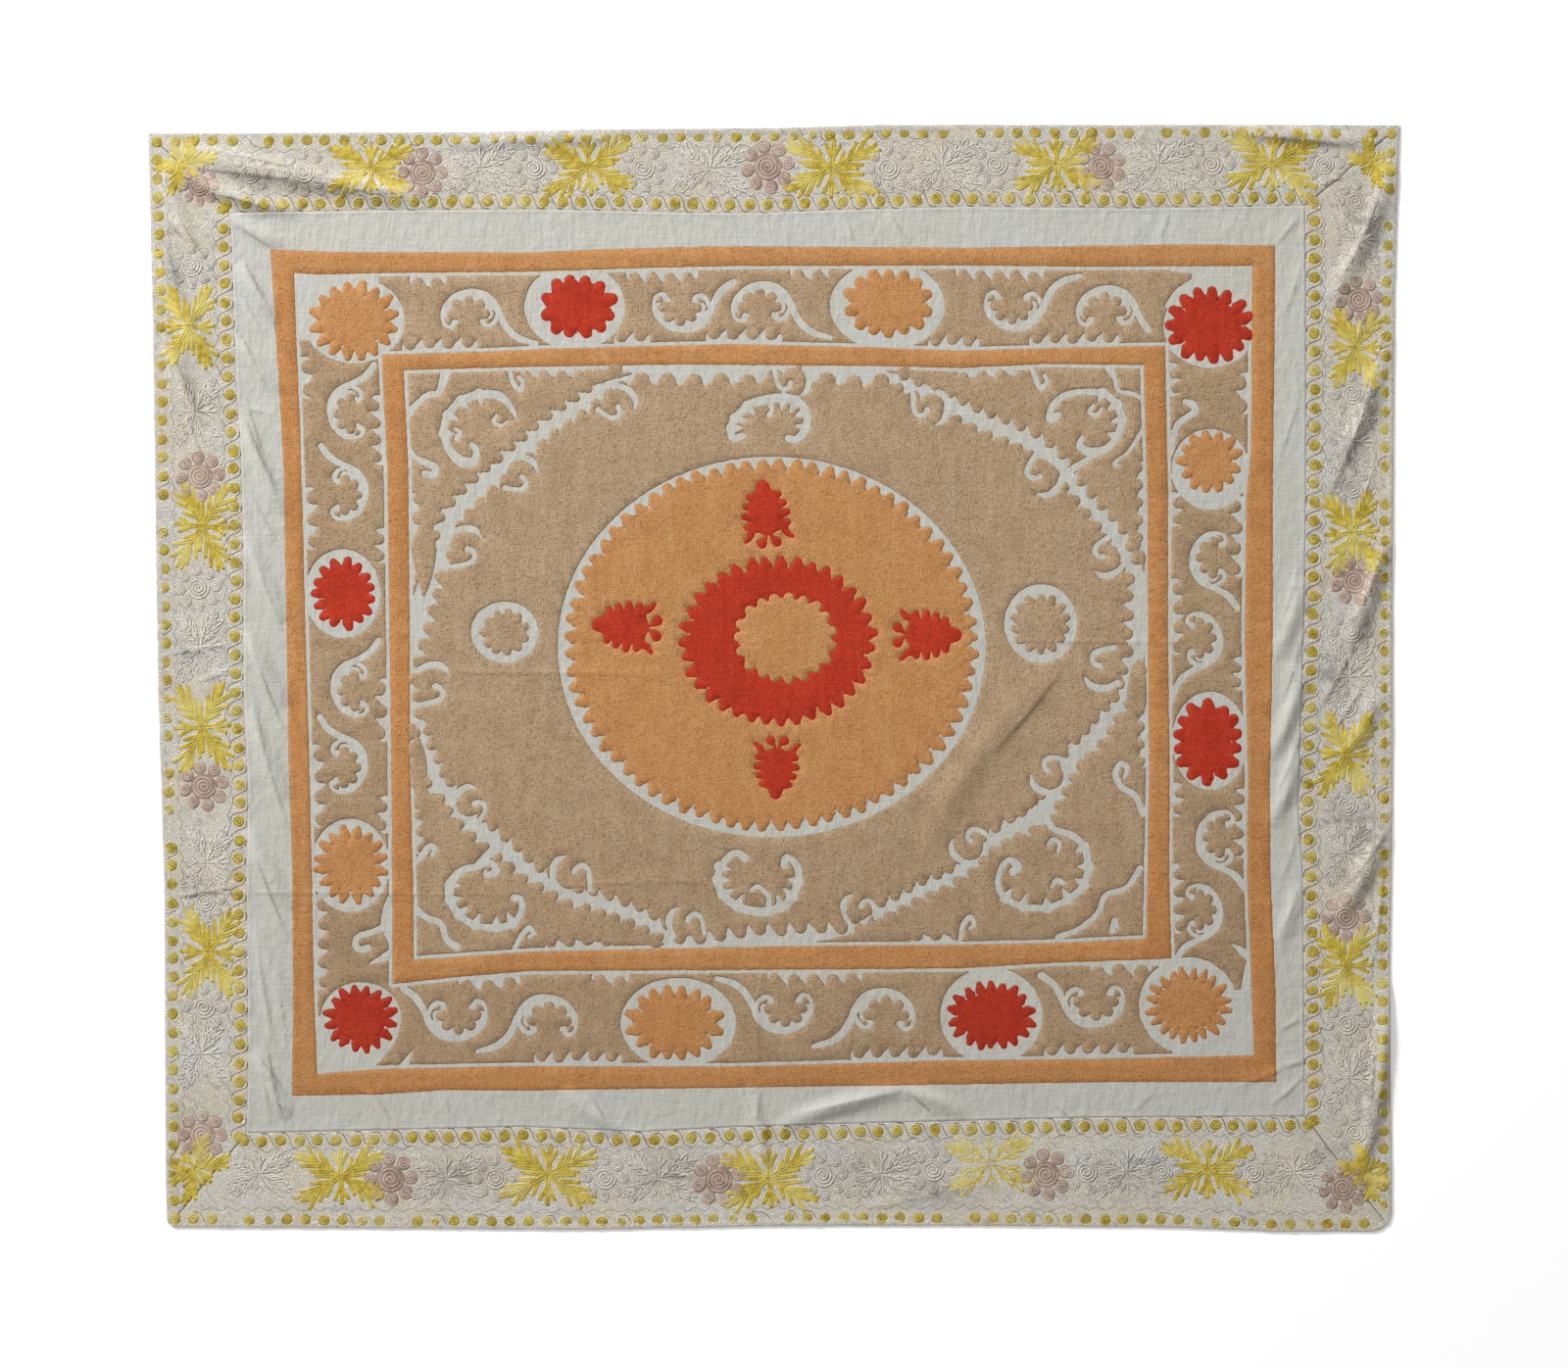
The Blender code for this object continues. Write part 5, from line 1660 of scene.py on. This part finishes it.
def wave_paths():
    """Wavy lines of dark thread just inside both rows of dots of every strip."""
    paths = []
    for side in ("top", "right", "bottom", "left"):
        lengthwise = side in ("top", "bottom")
        outward = 1.0 if side in ("top", "right") else -1.0
        for line, offset, inset in (
            (OUTER_EDGES[side], -outward * WAVE_OFFSET, pixels(34)),
            (SEAMS[side], outward * WAVE_OFFSET, pixels(8)),
        ):
            place = np.arange(line[0][0] + inset, line[-1][0] - inset, WAVE_PITCH / 5)
            phase = 2.0 * np.pi * place / WAVE_PITCH + value_noise(place, 0 * place, 0.08, 5)
            aside = line_at(line, place) + offset + WAVE_HEIGHT * np.sin(phase)
            paths.append(np.column_stack([place, aside] if lengthwise else [aside, place]))
    return paths


def cross_paths(motif, height=0.85):
    """The ribs of a cross leaf as chain-stitched lines."""
    paths = []
    for flip_x in (1.0, -1.0):
        for flip_y in (1.0, -1.0):
            for start, end, wide, _ in LEAF_BARS:
                for side in (-1.0, 1.0):
                    offset = side * wide * np.array([-(end[1] - start[1]), end[0] - start[0]])
                    middle = (np.array(start) + end) / 2 + 2.2 * offset
                    rows = np.array([start, middle, end])
                    paths.append(smooth(turned(rows, motif, (flip_x, flip_y * height)), steps=3))
    for flip_y in (1.0, -1.0):
        for start, end, _, _ in SPIKE_BARS:
            rows = turned([start, end], motif, (1.0, flip_y * height))
            paths.append(np.linspace(rows[0], rows[1], 4))
    return paths


def mitre_paths(panel):
    """The lines of sewing along the mitres, from the panel's corners out to the cloth's."""
    paths = []
    share = np.linspace(0.03, 0.90, 24)[:, None]
    for side, row in (("bottom", 0), ("top", -1)):
        for end in (0, -1):
            run = np.array(OUTER_EDGES[side][end]) - panel[row, end]
            path = panel[row, end] + share * run
            aside = 0.0012 * value_noise(path[:, 0], path[:, 1], 0.02, 31)
            paths.append(path + aside[:, None] * np.array([-run[1], run[0]]) / np.hypot(*run))
    return paths


def dot_rows():
    """The places of the dots along both edges of every strip, in rows, with the way along each row."""
    rows = []
    for side in ("top", "right", "bottom", "left"):
        lengthwise = side in ("top", "bottom")
        outward = 1.0 if side in ("top", "right") else -1.0
        for line, offset, inset in (
            (OUTER_EDGES[side], -outward * OUTER_DOTS, pixels(9)),
            (SEAMS[side], outward * INNER_DOTS, pixels(-4)),
        ):
            low, high = line[0][0] + inset, line[-1][0] - inset
            count = int(round((high - low) / DOT_PITCH))
            place = np.linspace(low, high, count + 1) + RNG.uniform(-0.0015, 0.0015, count + 1)
            aside = line_at(line, place) + offset + RNG.uniform(-0.0015, 0.0015, count + 1)
            points = np.column_stack([place, aside] if lengthwise else [aside, place])
            rows.append(points[room(*points.T) > DOT_RADIUS + EDGE_ROOM])
    return rows


def dot_paths():
    """The dots' coils and the thin curved lines that join each dot to the next."""
    coils, links = [], []
    for row in dot_rows():
        starts = RNG.uniform(0.0, 2.0 * np.pi, len(row))
        radii = DOT_RADIUS * RNG.uniform(0.85, 1.12, len(row))
        for centre, radius, start in zip(row, radii, starts):
            coils.append(coil(centre, radius - 0.0018, 1.9, 0.14, start, 9))
        for start, end, radius in zip(row[:-1], row[1:], radii):
            run = end - start
            aside = np.array([-run[1], run[0]]) / np.hypot(*run)
            bend = [
                start + 1.25 * radius * aside,
                start + 0.35 * run + 1.0 * radius * aside,
                start + 0.65 * run - 1.0 * radius * aside,
                end - 1.25 * radius * aside,
            ]
            links.append(smooth(np.array(bend), steps=3))
    return coils, links


def kept_inside(paths):
    """The lines that stay clear of the cloth's outer edge."""
    return [path for path in paths if room(*np.array(path).T[:2]).min() > EDGE_ROOM]


# Materials.


def screen(red, green, blue):
    """A colour as it shows on a screen, turned to linear light."""
    values = np.array([red, green, blue]) / 255.0
    linear = np.where(values <= 0.04045, values / 12.92, ((values + 0.055) / 1.055) ** 2.4)
    return (*linear.tolist(), 1.0)


def node(tree, kind, inputs=None, **properties):
    """Adds a shader node. An input is a value or another node's output."""
    made = tree.nodes.new("ShaderNode" + kind)
    for key, value in properties.items():
        setattr(made, key, value)
    for key, value in (inputs or {}).items():
        if isinstance(value, bpy.types.NodeSocket):
            tree.links.new(value, made.inputs[key])
        else:
            made.inputs[key].default_value = value
    return made


def noise(tree, spread, detail=2.0, roughness=0.5, shift=(0.0, 0.0, 0.0)):
    """Noise whose features have the given sizes along x, y and z, in metres."""
    place = node(tree, "TexCoord").outputs["Object"]
    moved = node(tree, "VectorMath", {0: place, 1: shift}, operation="ADD").outputs[0]
    scale = tuple(1.0 / size for size in spread)
    stretched = node(tree, "VectorMath", {0: moved, 1: scale}, operation="MULTIPLY").outputs[0]
    inputs = {"Vector": stretched, "Scale": 1.0, "Detail": detail, "Roughness": roughness}
    return node(tree, "TexNoise", inputs).outputs["Fac"]


def ramped(tree, value, low, high, to_low=0.0, to_high=1.0):
    """A value mapped from one range to another."""
    inputs = {"Value": value, "From Min": low, "From Max": high, "To Min": to_low, "To Max": to_high}
    return node(tree, "MapRange", inputs).outputs["Result"]


def blended(tree, factor, first, second, mode="MIX"):
    """Two colours mixed by a factor."""
    inputs = {"Fac": factor, "Color1": first, "Color2": second}
    return node(tree, "MixRGB", inputs, blend_type=mode).outputs["Color"]


def worked(tree, operation, first, second):
    """The result of a sum on two values."""
    return node(tree, "Math", {0: first, 1: second}, operation=operation).outputs[0]


def new_material(name, roughness, sheen):
    """A dull cloth-like material, its node tree and its shader."""
    material = bpy.data.materials.new(name)
    material.use_nodes = True
    shader = material.node_tree.nodes["Principled BSDF"]
    shader.inputs["Roughness"].default_value = roughness
    shader.inputs["Specular IOR Level"].default_value = 0.25
    shader.inputs["Sheen Weight"].default_value = sheen
    shader.inputs["Sheen Roughness"].default_value = 0.4
    return material, material.node_tree, shader


def finish_material(tree, shader, colour, height, distance):
    """Adds painted shade in the hollows of the creases, and the bump."""
    hollow = node(tree, "Attribute", attribute_name="hollow", attribute_type="GEOMETRY").outputs["Fac"]
    # Painted shade: darker where the cloth lies in the foot of a crease.
    painted_shade = ramped(tree, hollow, 35.0, 190.0, 0.0, 0.55)
    colour = blended(tree, painted_shade, colour, screen(*CREASE_PAINTED_SHADE), "MULTIPLY")
    tree.links.new(colour, shader.inputs["Base Color"])
    bump = node(tree, "Bump", {"Height": height, "Distance": distance, "Strength": 1.0})
    tree.links.new(bump.outputs["Normal"], shader.inputs["Normal"])


def cotton_material():
    """Plain hand-woven cotton: slubs both ways, grey and yellow tinges, and painted shade that deepens
    downwards.
    """
    material, tree, shader = new_material("cotton_ground", 0.9, 0.15)
    upright = noise(tree, (0.0016, 0.05, 0.01), 3.0, 0.6)
    level = noise(tree, (0.06, 0.0018, 0.01), 3.0, 0.6, (3.0, 0.0, 0.0))
    weave = worked(tree, "ADD", upright, level)
    tinge = noise(tree, (0.22, 0.17, 0.1), 4.0, 0.6, (7.0, 2.0, 0.0))
    colour = blended(tree, ramped(tree, tinge, 0.35, 0.65), screen(*COTTON_COOL), screen(*COTTON_WARM))
    colour = blended(tree, ramped(tree, weave, 0.80, 1.20, 0.0, 0.34), colour, screen(*COTTON_SLUB_AND_SHADE))
    # Painted shade: the cloth darkens towards the bottom.
    place = node(tree, "SeparateXYZ", {0: node(tree, "TexCoord").outputs["Object"]}).outputs["Y"]
    colour = blended(tree, ramped(tree, place, 0.5, -0.95, 0.0, 0.22), colour, screen(*COTTON_SLUB_AND_SHADE))
    grain = noise(tree, (0.0011, 0.0011, 0.001), 2.0, 0.7)
    crumple = noise(tree, (0.016, 0.030, 0.02), 3.0, 0.6, (8.0, 3.0, 0.0))
    height = worked(tree, "ADD", worked(tree, "ADD", weave, grain), worked(tree, "MULTIPLY", crumple, 7.0))
    finish_material(tree, shader, colour, height, 0.00035)
    return material


def stained_and_shaded(tree, colour, stains_and_shade, stain_and_shade, spread):
    """Darkens the colour in soft uneven blots: stains, and painted shadow in the folds. Rows: where, how wide
    along x and y, how strong.
    """
    place = node(tree, "TexCoord").outputs["Object"]
    ragged = noise(tree, spread, 4.0, 0.65, (2.0, 3.0, 0.0))
    total = None
    for (x, y), (wide, tall), strength in stains_and_shade:
        offset = node(tree, "VectorMath", {0: place, 1: (x, y, 0.0)}, operation="SUBTRACT").outputs[0]
        inputs = {0: offset, 1: (1 / wide, 1 / tall, 0.0)}
        scaled = node(tree, "VectorMath", inputs, operation="MULTIPLY").outputs[0]
        away = node(tree, "VectorMath", {0: scaled}, operation="LENGTH").outputs["Value"]
        blot = ramped(tree, away, 1.0, 0.1, 0.0, strength)
        total = blot if total is None else worked(tree, "MAXIMUM", total, blot)
    factor = worked(tree, "MULTIPLY", total, ramped(tree, ragged, 0.35, 0.62))
    return blended(tree, factor, colour, screen(*stain_and_shade))


def border_material(name, cool, warm, smudged):
    """The border's lighter cloth: faint raised swirls with painted shade and painted highlight along them,
    smudges and a slight shine.
    """
    material, tree, shader = new_material(name, 0.62, 0.2)
    tinge = noise(tree, (0.12, 0.10, 0.1), 4.0, 0.6, (1.0, 5.0, 0.0))
    colour = blended(tree, ramped(tree, tinge, 0.35, 0.65), screen(*cool), screen(*warm))
    smudge = noise(tree, (0.05, 0.04, 0.1), 5.0, 0.65, (9.0, 4.0, 0.0))
    colour = blended(tree, ramped(tree, smudge, 0.54, 0.74, 0.0, 0.5), colour, screen(*smudged))
    # Grey blots: stains, and painted shadow in the folds.
    colour = stained_and_shaded(tree, colour, BORDER_STAINS_AND_FOLD_SHADE, STAIN_AND_SHADE_GREY, (0.02, 0.018, 0.02))
    wander = noise(tree, (0.020, 0.020, 0.02), 1.5, 0.5, (3.0, 3.0, 0.0))
    swirl = worked(tree, "SINE", worked(tree, "MULTIPLY", wander, 110.0), 0.0)
    fleck = noise(tree, (0.006, 0.006, 0.003), 2.0, 0.6)
    # Painted shade along the swirls' troughs and painted highlight along their crests.
    shade = worked(tree, "MULTIPLY", ramped(tree, swirl, -0.60, -0.98), ramped(tree, fleck, 0.44, 0.66))
    colour = blended(tree, worked(tree, "MULTIPLY", shade, 0.40), colour, screen(*STITCH_SHADE))
    colour = blended(tree, ramped(tree, swirl, 0.55, 1.0, 0.0, 0.30), colour, screen(*STITCH_SHINE))
    grain = noise(tree, (0.0012, 0.0012, 0.001), 2.0, 0.7)
    height = worked(tree, "ADD", worked(tree, "MULTIPLY", swirl, 0.5), grain)
    finish_material(tree, shader, colour, height, 0.0006)
    return material


def thread_material(name, middle, dark, light, level, specks=0.5, sheen=0.12):
    """Couched thread in rows. Level rows run across the cloth, the others run up it."""
    material, tree, shader = new_material(name, 0.75, sheen)
    rows = (0.008, 0.0019, 0.01) if level else (0.0019, 0.008, 0.01)
    picks = (0.0024, 0.010, 0.01) if level else (0.010, 0.0024, 0.01)
    skeins = (0.12, 0.016, 0.05) if level else (0.016, 0.12, 0.05)
    dots = (0.0036, 0.0024, 0.01) if level else (0.0024, 0.0036, 0.01)
    streak = noise(tree, rows, 2.0, 0.6)
    pick = noise(tree, picks, 2.0, 0.6, (1.0, 4.0, 0.0))
    skein = noise(tree, skeins, 3.0, 0.6, (2.0, 8.0, 0.0))
    speck = noise(tree, dots, 2.0, 0.75, (5.0, 5.0, 0.0))
    worn = noise(tree, (0.05, 0.05, 0.1), 5.0, 0.7, (4.0, 6.0, 0.0))
    colour = blended(tree, ramped(tree, skein, 0.35, 0.68), screen(*middle), screen(*light))
    colour = blended(tree, ramped(tree, worn, 0.45, 0.75, 0.0, 0.30), colour, screen(*dark))
    colour = blended(tree, ramped(tree, streak, 0.48, 0.75, 0.0, 0.50), colour, screen(*dark))
    colour = blended(tree, ramped(tree, pick, 0.50, 0.75, 0.0, 0.40), colour, screen(*dark))
    colour = blended(tree, ramped(tree, speck, 0.56, 0.66, 0.0, specks), colour, screen(*dark), "MULTIPLY")
    # Painted shade: the thread darkens towards the bottom.
    place = node(tree, "SeparateXYZ", {0: node(tree, "TexCoord").outputs["Object"]}).outputs["Y"]
    colour = blended(tree, ramped(tree, place, 0.0, -0.75, 0.0, 0.26), colour, screen(*dark))
    rim = node(tree, "Attribute", attribute_name="rim", attribute_type="GEOMETRY").outputs["Fac"]
    colour = blended(tree, ramped(tree, rim, 0.35, 0.95, 0.0, 0.75), colour, screen(*dark), "MULTIPLY")
    height = worked(tree, "ADD", worked(tree, "ADD", streak, pick), worked(tree, "MULTIPLY", speck, 0.8))
    finish_material(tree, shader, colour, height, 0.0008)
    return material


def fine_thread_material(name, middle, dark, light, roughness=0.5):
    """Chain-stitched thread of the border's leaves, dots and rosettes."""
    material, tree, shader = new_material(name, roughness, 0.3)
    tone = noise(tree, (0.012, 0.012, 0.01), 4.0, 0.65)
    patch = noise(tree, (0.07, 0.07, 0.05), 2.0, 0.5, (6.0, 1.0, 0.0))
    colour = blended(tree, ramped(tree, tone, 0.35, 0.65), screen(*dark), screen(*middle))
    colour = blended(tree, ramped(tree, patch, 0.45, 0.70, 0.0, 0.7), colour, screen(*light))
    height = noise(tree, (0.0016, 0.0016, 0.001), 2.0, 0.6)
    finish_material(tree, shader, colour, height, 0.0007)
    return material


# The colour of the painted shade in the hollows of the creases.
CREASE_PAINTED_SHADE = (138, 128, 116)
COTTON_COOL = (199, 200, 195)
COTTON_WARM = (200, 198, 186)
# The darker tone of the slubs, and also the painted shade towards the bottom.
COTTON_SLUB_AND_SHADE = (158, 154, 142)
STRIP_COOL = (202, 200, 192)
STRIP_WARM = (206, 196, 176)
STRIP_SMUDGE = (150, 144, 134)
# Painted shade and painted highlight along the border's swirls.
STITCH_SHADE = (112, 106, 98)
STITCH_SHINE = (224, 220, 210)
PALE_COOL = (220, 216, 208)
PALE_WARM = (218, 208, 192)
# The grey of the border's stains and of the painted shadow in its folds.
STAIN_AND_SHADE_GREY = (122, 118, 112)

# Grey blots on the border, most of them in its folds: stains and painted fold shadow together. Rows: where,
# how wide, how strong.
BORDER_STAINS_AND_FOLD_SHADE = [
    (*oval_at(1392, 228, 26, 42), 0.8), (*oval_at(1396, 415, 22, 40), 0.8),
    (*oval_at(1376, 462, 24, 40), 0.8), (*oval_at(1364, 500, 20, 22), 0.6),
    (*oval_at(1402, 575, 26, 34), 0.7), (*oval_at(1386, 640, 24, 30), 0.7),
    (*oval_at(1362, 690, 24, 36), 0.8), (*oval_at(1398, 860, 34, 34), 0.8),
    (*oval_at(1380, 900, 26, 26), 0.7), (*oval_at(1398, 1120, 18, 60), 0.6),
    (*oval_at(1360, 1180, 40, 30), 0.5), (*oval_at(1380, 835, 46, 16), 0.5),
    (*oval_at(270, 186, 110, 22), 0.5), (*oval_at(190, 390, 22, 50), 0.5),
    (*oval_at(172, 280, 22, 50), 0.4), (*oval_at(466, 1200, 60, 30), 0.6),
    (*oval_at(690, 1196, 60, 30), 0.6), (*oval_at(960, 1218, 70, 22), 0.6),
    (*oval_at(1160, 1196, 60, 36), 0.5), (*oval_at(1330, 142, 60, 12), 0.5),
    (*oval_at(200, 1140, 46, 40), 0.4), (*oval_at(885, 1188, 70, 36), 0.4),
    (*oval_at(200, 665, 50, 22), 0.4), (*oval_at(205, 905, 50, 14), 0.5),
]

# The couched threads: middle, dark and light colour, whether their rows run across, specks and sheen.
COUCHED_THREADS = {
    "tan": ((182, 154, 121), (118, 88, 56), (188, 163, 132), False, 0.6),
    "tan_level": ((176, 148, 115), (112, 84, 54), (184, 159, 127), True, 0.6),
    "orange": ((196, 140, 84), (148, 92, 46), (201, 150, 98), False, 0.55),
    "orange_level": ((195, 136, 78), (144, 88, 44), (200, 146, 92), True, 0.6),
    "red": ((188, 48, 22), (118, 20, 10), (196, 60, 30), False, 0.4, 0.03),
}
# The border strips' threads: middle, dark and light colour.
FINE_THREADS = {
    "yellow": ((216, 194, 82), (168, 144, 40), (222, 210, 134)),
    "olive": ((188, 168, 82), (146, 124, 44), (196, 182, 112)),
    "rose": ((206, 186, 170), (172, 148, 134), (214, 198, 184)),
    "rose_dark": ((168, 146, 132), (138, 114, 100), (182, 162, 148)),
    # shade: the grey of the painted shadow beside the pale lines, and of the wavy lines.
    "shade": ((146, 138, 128), (116, 108, 100), (168, 160, 150)),
    "line": ((122, 106, 68), (88, 76, 48), (138, 124, 86)),
}

# Light, floor and camera. The camera looks straight down from far off.
CAMERA_HEIGHT = 9.0
CAMERA_AIM = (0.018, -0.0095)
FRAME_WIDTH = 2.7565
SENSOR = 36.0
FLOOR_HALF = 6.0
FLOOR_LEVEL = -0.0004
WORLD_STRENGTH = 0.40
WINDOW_PLACE = (-7.6, 8.6, 5.2)
WINDOW_AIM = (0.0, -0.1, 0.0)
WINDOW_SIZE = 2.4
WINDOW_ENERGY = 2250.0


def add_floor():
    """The plain pale floor."""
    floor_mesh = bpy.data.meshes.new("floor")
    corners = ((-1, -1), (1, -1), (1, 1), (-1, 1))
    verts = [(x * FLOOR_HALF, y * FLOOR_HALF, FLOOR_LEVEL) for x, y in corners]
    floor_mesh.from_pydata(verts, [], [(0, 1, 2, 3)])
    floor = bpy.data.objects.new("floor", floor_mesh)
    paper = bpy.data.materials.new("floor_paper")
    paper.use_nodes = True
    shader = paper.node_tree.nodes["Principled BSDF"]
    shader.inputs["Base Color"].default_value = (0.93, 0.93, 0.93, 1.0)
    shader.inputs["Roughness"].default_value = 0.95
    shader.inputs["Specular IOR Level"].default_value = 0.1
    shader.inputs["Emission Color"].default_value = (1.0, 1.0, 1.0, 1.0)
    shader.inputs["Emission Strength"].default_value = 0.22
    floor_mesh.materials.append(paper)
    bpy.context.scene.collection.objects.link(floor)


def add_light():
    """Soft light from a window at the top left, and a pale world round it."""
    world = bpy.data.worlds.new("studio")
    bpy.context.scene.world = world
    world.use_nodes = True
    background = world.node_tree.nodes["Background"]
    background.inputs["Color"].default_value = (1.0, 1.0, 1.0, 1.0)
    background.inputs["Strength"].default_value = WORLD_STRENGTH
    light = bpy.data.lights.new("window_light", "AREA")
    light.size = WINDOW_SIZE
    light.energy = WINDOW_ENERGY
    lamp = bpy.data.objects.new("window_light", light)
    lamp.location = WINDOW_PLACE
    lamp.rotation_euler = (Vector(WINDOW_AIM) - Vector(WINDOW_PLACE)).to_track_quat("-Z", "Y").to_euler()
    bpy.context.scene.collection.objects.link(lamp)


def add_camera():
    """The camera, at the photo's angle."""
    lens = bpy.data.cameras.new("camera")
    lens.sensor_width = SENSOR
    lens.lens = SENSOR * CAMERA_HEIGHT / FRAME_WIDTH
    lens.clip_end = 50.0
    camera = bpy.data.objects.new("camera", lens)
    camera.location = (*CAMERA_AIM, CAMERA_HEIGHT)
    bpy.context.scene.collection.objects.link(camera)
    bpy.context.scene.camera = camera
    bpy.context.scene.view_settings.view_transform = "Standard"


def roughened(canvas):
    """Gives the outlines the unevenness of hand stitching."""
    x, y = np.meshgrid(canvas.xs, canvas.ys)
    coarse, fine = value_noise(x, y, 0.007, 21), value_noise(x, y, 0.0032, 22)
    canvas.field = canvas.field + 0.0006 * coarse + 0.0003 * fine
    return canvas


def in_side_border(x, y):
    """Where the tan border's rows of stitches run across the cloth: its left and right sides."""
    return (np.abs(x - x_at(793)) > pixels(405)) & (y > y_at(1000)) & (y < y_at(345))


def in_side_frame(x, y):
    """Where the orange frames' rows run across the cloth."""
    outer = (np.abs(x - x_at(789)) > pixels(482)) & (y > y_at(1090)) & (y < y_at(277))
    aside = np.abs(x - x_at(793))
    inner = (aside > pixels(374)) & (aside < pixels(440)) & (y > y_at(985)) & (y < y_at(372))
    return outer | inner


def belongs(piece):
    """Gives a piece its body."""
    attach(piece, "root")
    return piece


def trimmed(canvas):
    """Keeps the thread clear of the cloth's outer edge."""
    inside = room(*np.meshgrid(canvas.xs, canvas.ys))
    canvas.field = np.maximum(canvas.field, EDGE_ROOM + TRIMMED_ROOM - inside)
    return canvas


def add_cloths(panel, ground, border):
    """The centre panel and the four border strips, one sheet each."""
    rows, columns = panel.shape[:2]
    inner = len(RIM)
    blocks = ((inner, rows - 1 - inner), (inner, columns - 1 - inner))
    cloth = add_cloth("panel_cloth", panel, panel_thickness(panel), ground, *blocks, PANEL_PITCHES)
    belongs(cloth)
    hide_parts("centre_panel")
    for side in ("top", "right", "bottom", "left"):
        points = strip_points(side, panel)
        rows, columns = points.shape[:2]
        blocks = ((3, rows - 5), (inner, columns - 1 - inner))
        thickness = strip_thickness(points)
        strip = add_cloth("strip_cloth_" + side, points, thickness, border, *blocks, STRIP_PITCHES)
        belongs(strip)
        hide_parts("border_strip_" + side)


def add_couched(threads):
    """The couched embroidery of the centre panel."""
    tan, orange = threads["tan"], threads["orange"]
    gold_canvas, red_canvas = draw_gold_and_red()
    for name, canvas, materials, slot, choose in (
        ("border_thread", draw_border(), [tan, threads["tan_level"]], "thread_tan", in_side_border),
        ("field_thread", draw_field(), [tan], "thread_tan", None),
        ("frame_thread", draw_frames(), [orange, threads["orange_level"]], "thread_orange", in_side_frame),
        ("gold_thread", gold_canvas, [orange], "thread_orange", None),
        ("red_thread", red_canvas, [threads["red"]], "thread_red", None),
    ):
        belongs(add_thread(name, roughened(canvas), PANEL_THICK, materials, RAISED, choose))


def add_stitched(name, paths, stitch, material):
    """Lines of chain stitch on the border strips. The stitch gives their half width and rise."""
    belongs(add_lines(name, kept_inside(paths), *stitch, BORDER_THICK, material))


def add_leaves_and_dots(threads, panel):
    """The yellow leaf crosses and dots of the border strips, with the lines that join the dots."""
    yellow = threads["yellow"]
    leaves = Canvas(STRIPS_LOW, STRIPS_HIGH, STRIP_CELL)
    bars = [bar for motif in CROSS_LEAVES for bar in cross_bars(motif)]
    for start, end, wide, narrow in bars:
        leaves.bar(start, end, wide, narrow)
    for row in dot_rows():
        for centre in row:
            leaves.ellipse(centre, (DOT_RADIUS, DOT_RADIUS))
    ground = add_thread("leaf_thread", trimmed(leaves), BORDER_THICK, [threads["olive"]], GROUND_RISE)
    belongs(ground)
    add_stitched("leaf_rib_thread", bar_ribs(bars), LEAF_RIB, yellow)
    coils, links = dot_paths()
    links += mitre_paths(panel)
    add_stitched("dot_thread", coils, DOT_COIL, yellow)
    add_stitched("link_thread", links, DOT_LINK, threads["line"])


def add_roses_and_pale_figures(threads, raised):
    """The rose rosettes of the border strips, the pale figures with a painted shadow line beside each of
    their lines, and the wavy lines between them.
    """
    rosettes = Canvas(STRIPS_LOW, STRIPS_HIGH, STRIP_CELL)
    for motif in ROSE_ROSETTES:
        draw_rosette(rosettes, motif)
    dark = [threads["rose_dark"]]
    base = add_thread("rose_base_thread", trimmed(rosettes), BORDER_THICK, dark, GROUND_RISE)
    belongs(base)
    petals = [path for motif in ROSE_ROSETTES for path in rosette_paths(motif)]
    add_stitched("rose_thread", petals, ROSE_COIL, threads["rose"])
    pale = [path for motif in PALE_ROSETTES for path in rosette_paths(motif)]
    pale += [path for motif in PALE_CROSSES for path in cross_paths(motif)]
    add_stitched("pale_thread", pale, PALE_LINE, raised)
    shade = threads["shade"]
    # A grey line beside each pale line: painted shadow.
    add_stitched("pale_shade_thread", beside(pale, SHADE_OFFSET), SHADE_LINE, shade)
    add_stitched("wave_thread", wave_paths(), SHADE_LINE, shade)
    faded = [path for motif in FADED_LEAVES for path in cross_paths(motif)]
    add_stitched("faded_thread", faded, FADED_LINE, threads["yellow"])


def main():
    """Builds the whole cloth and its stage."""
    ground = cotton_material()
    border = border_material("border_cloth", STRIP_COOL, STRIP_WARM, STRIP_SMUDGE)
    raised = border_material("border_pale_thread", PALE_COOL, PALE_WARM, STRIP_COOL)
    couched = {name: thread_material("thread_" + name, *look) for name, look in COUCHED_THREADS.items()}
    fine = {name: fine_thread_material("thread_" + name, *look) for name, look in FINE_THREADS.items()}
    panel = panel_points()
    add_cloths(panel, ground, border)
    add_couched(couched)
    add_leaves_and_dots(fine, panel)
    add_roses_and_pale_figures(fine, raised)
    add_floor()
    add_light()
    add_camera()


main()
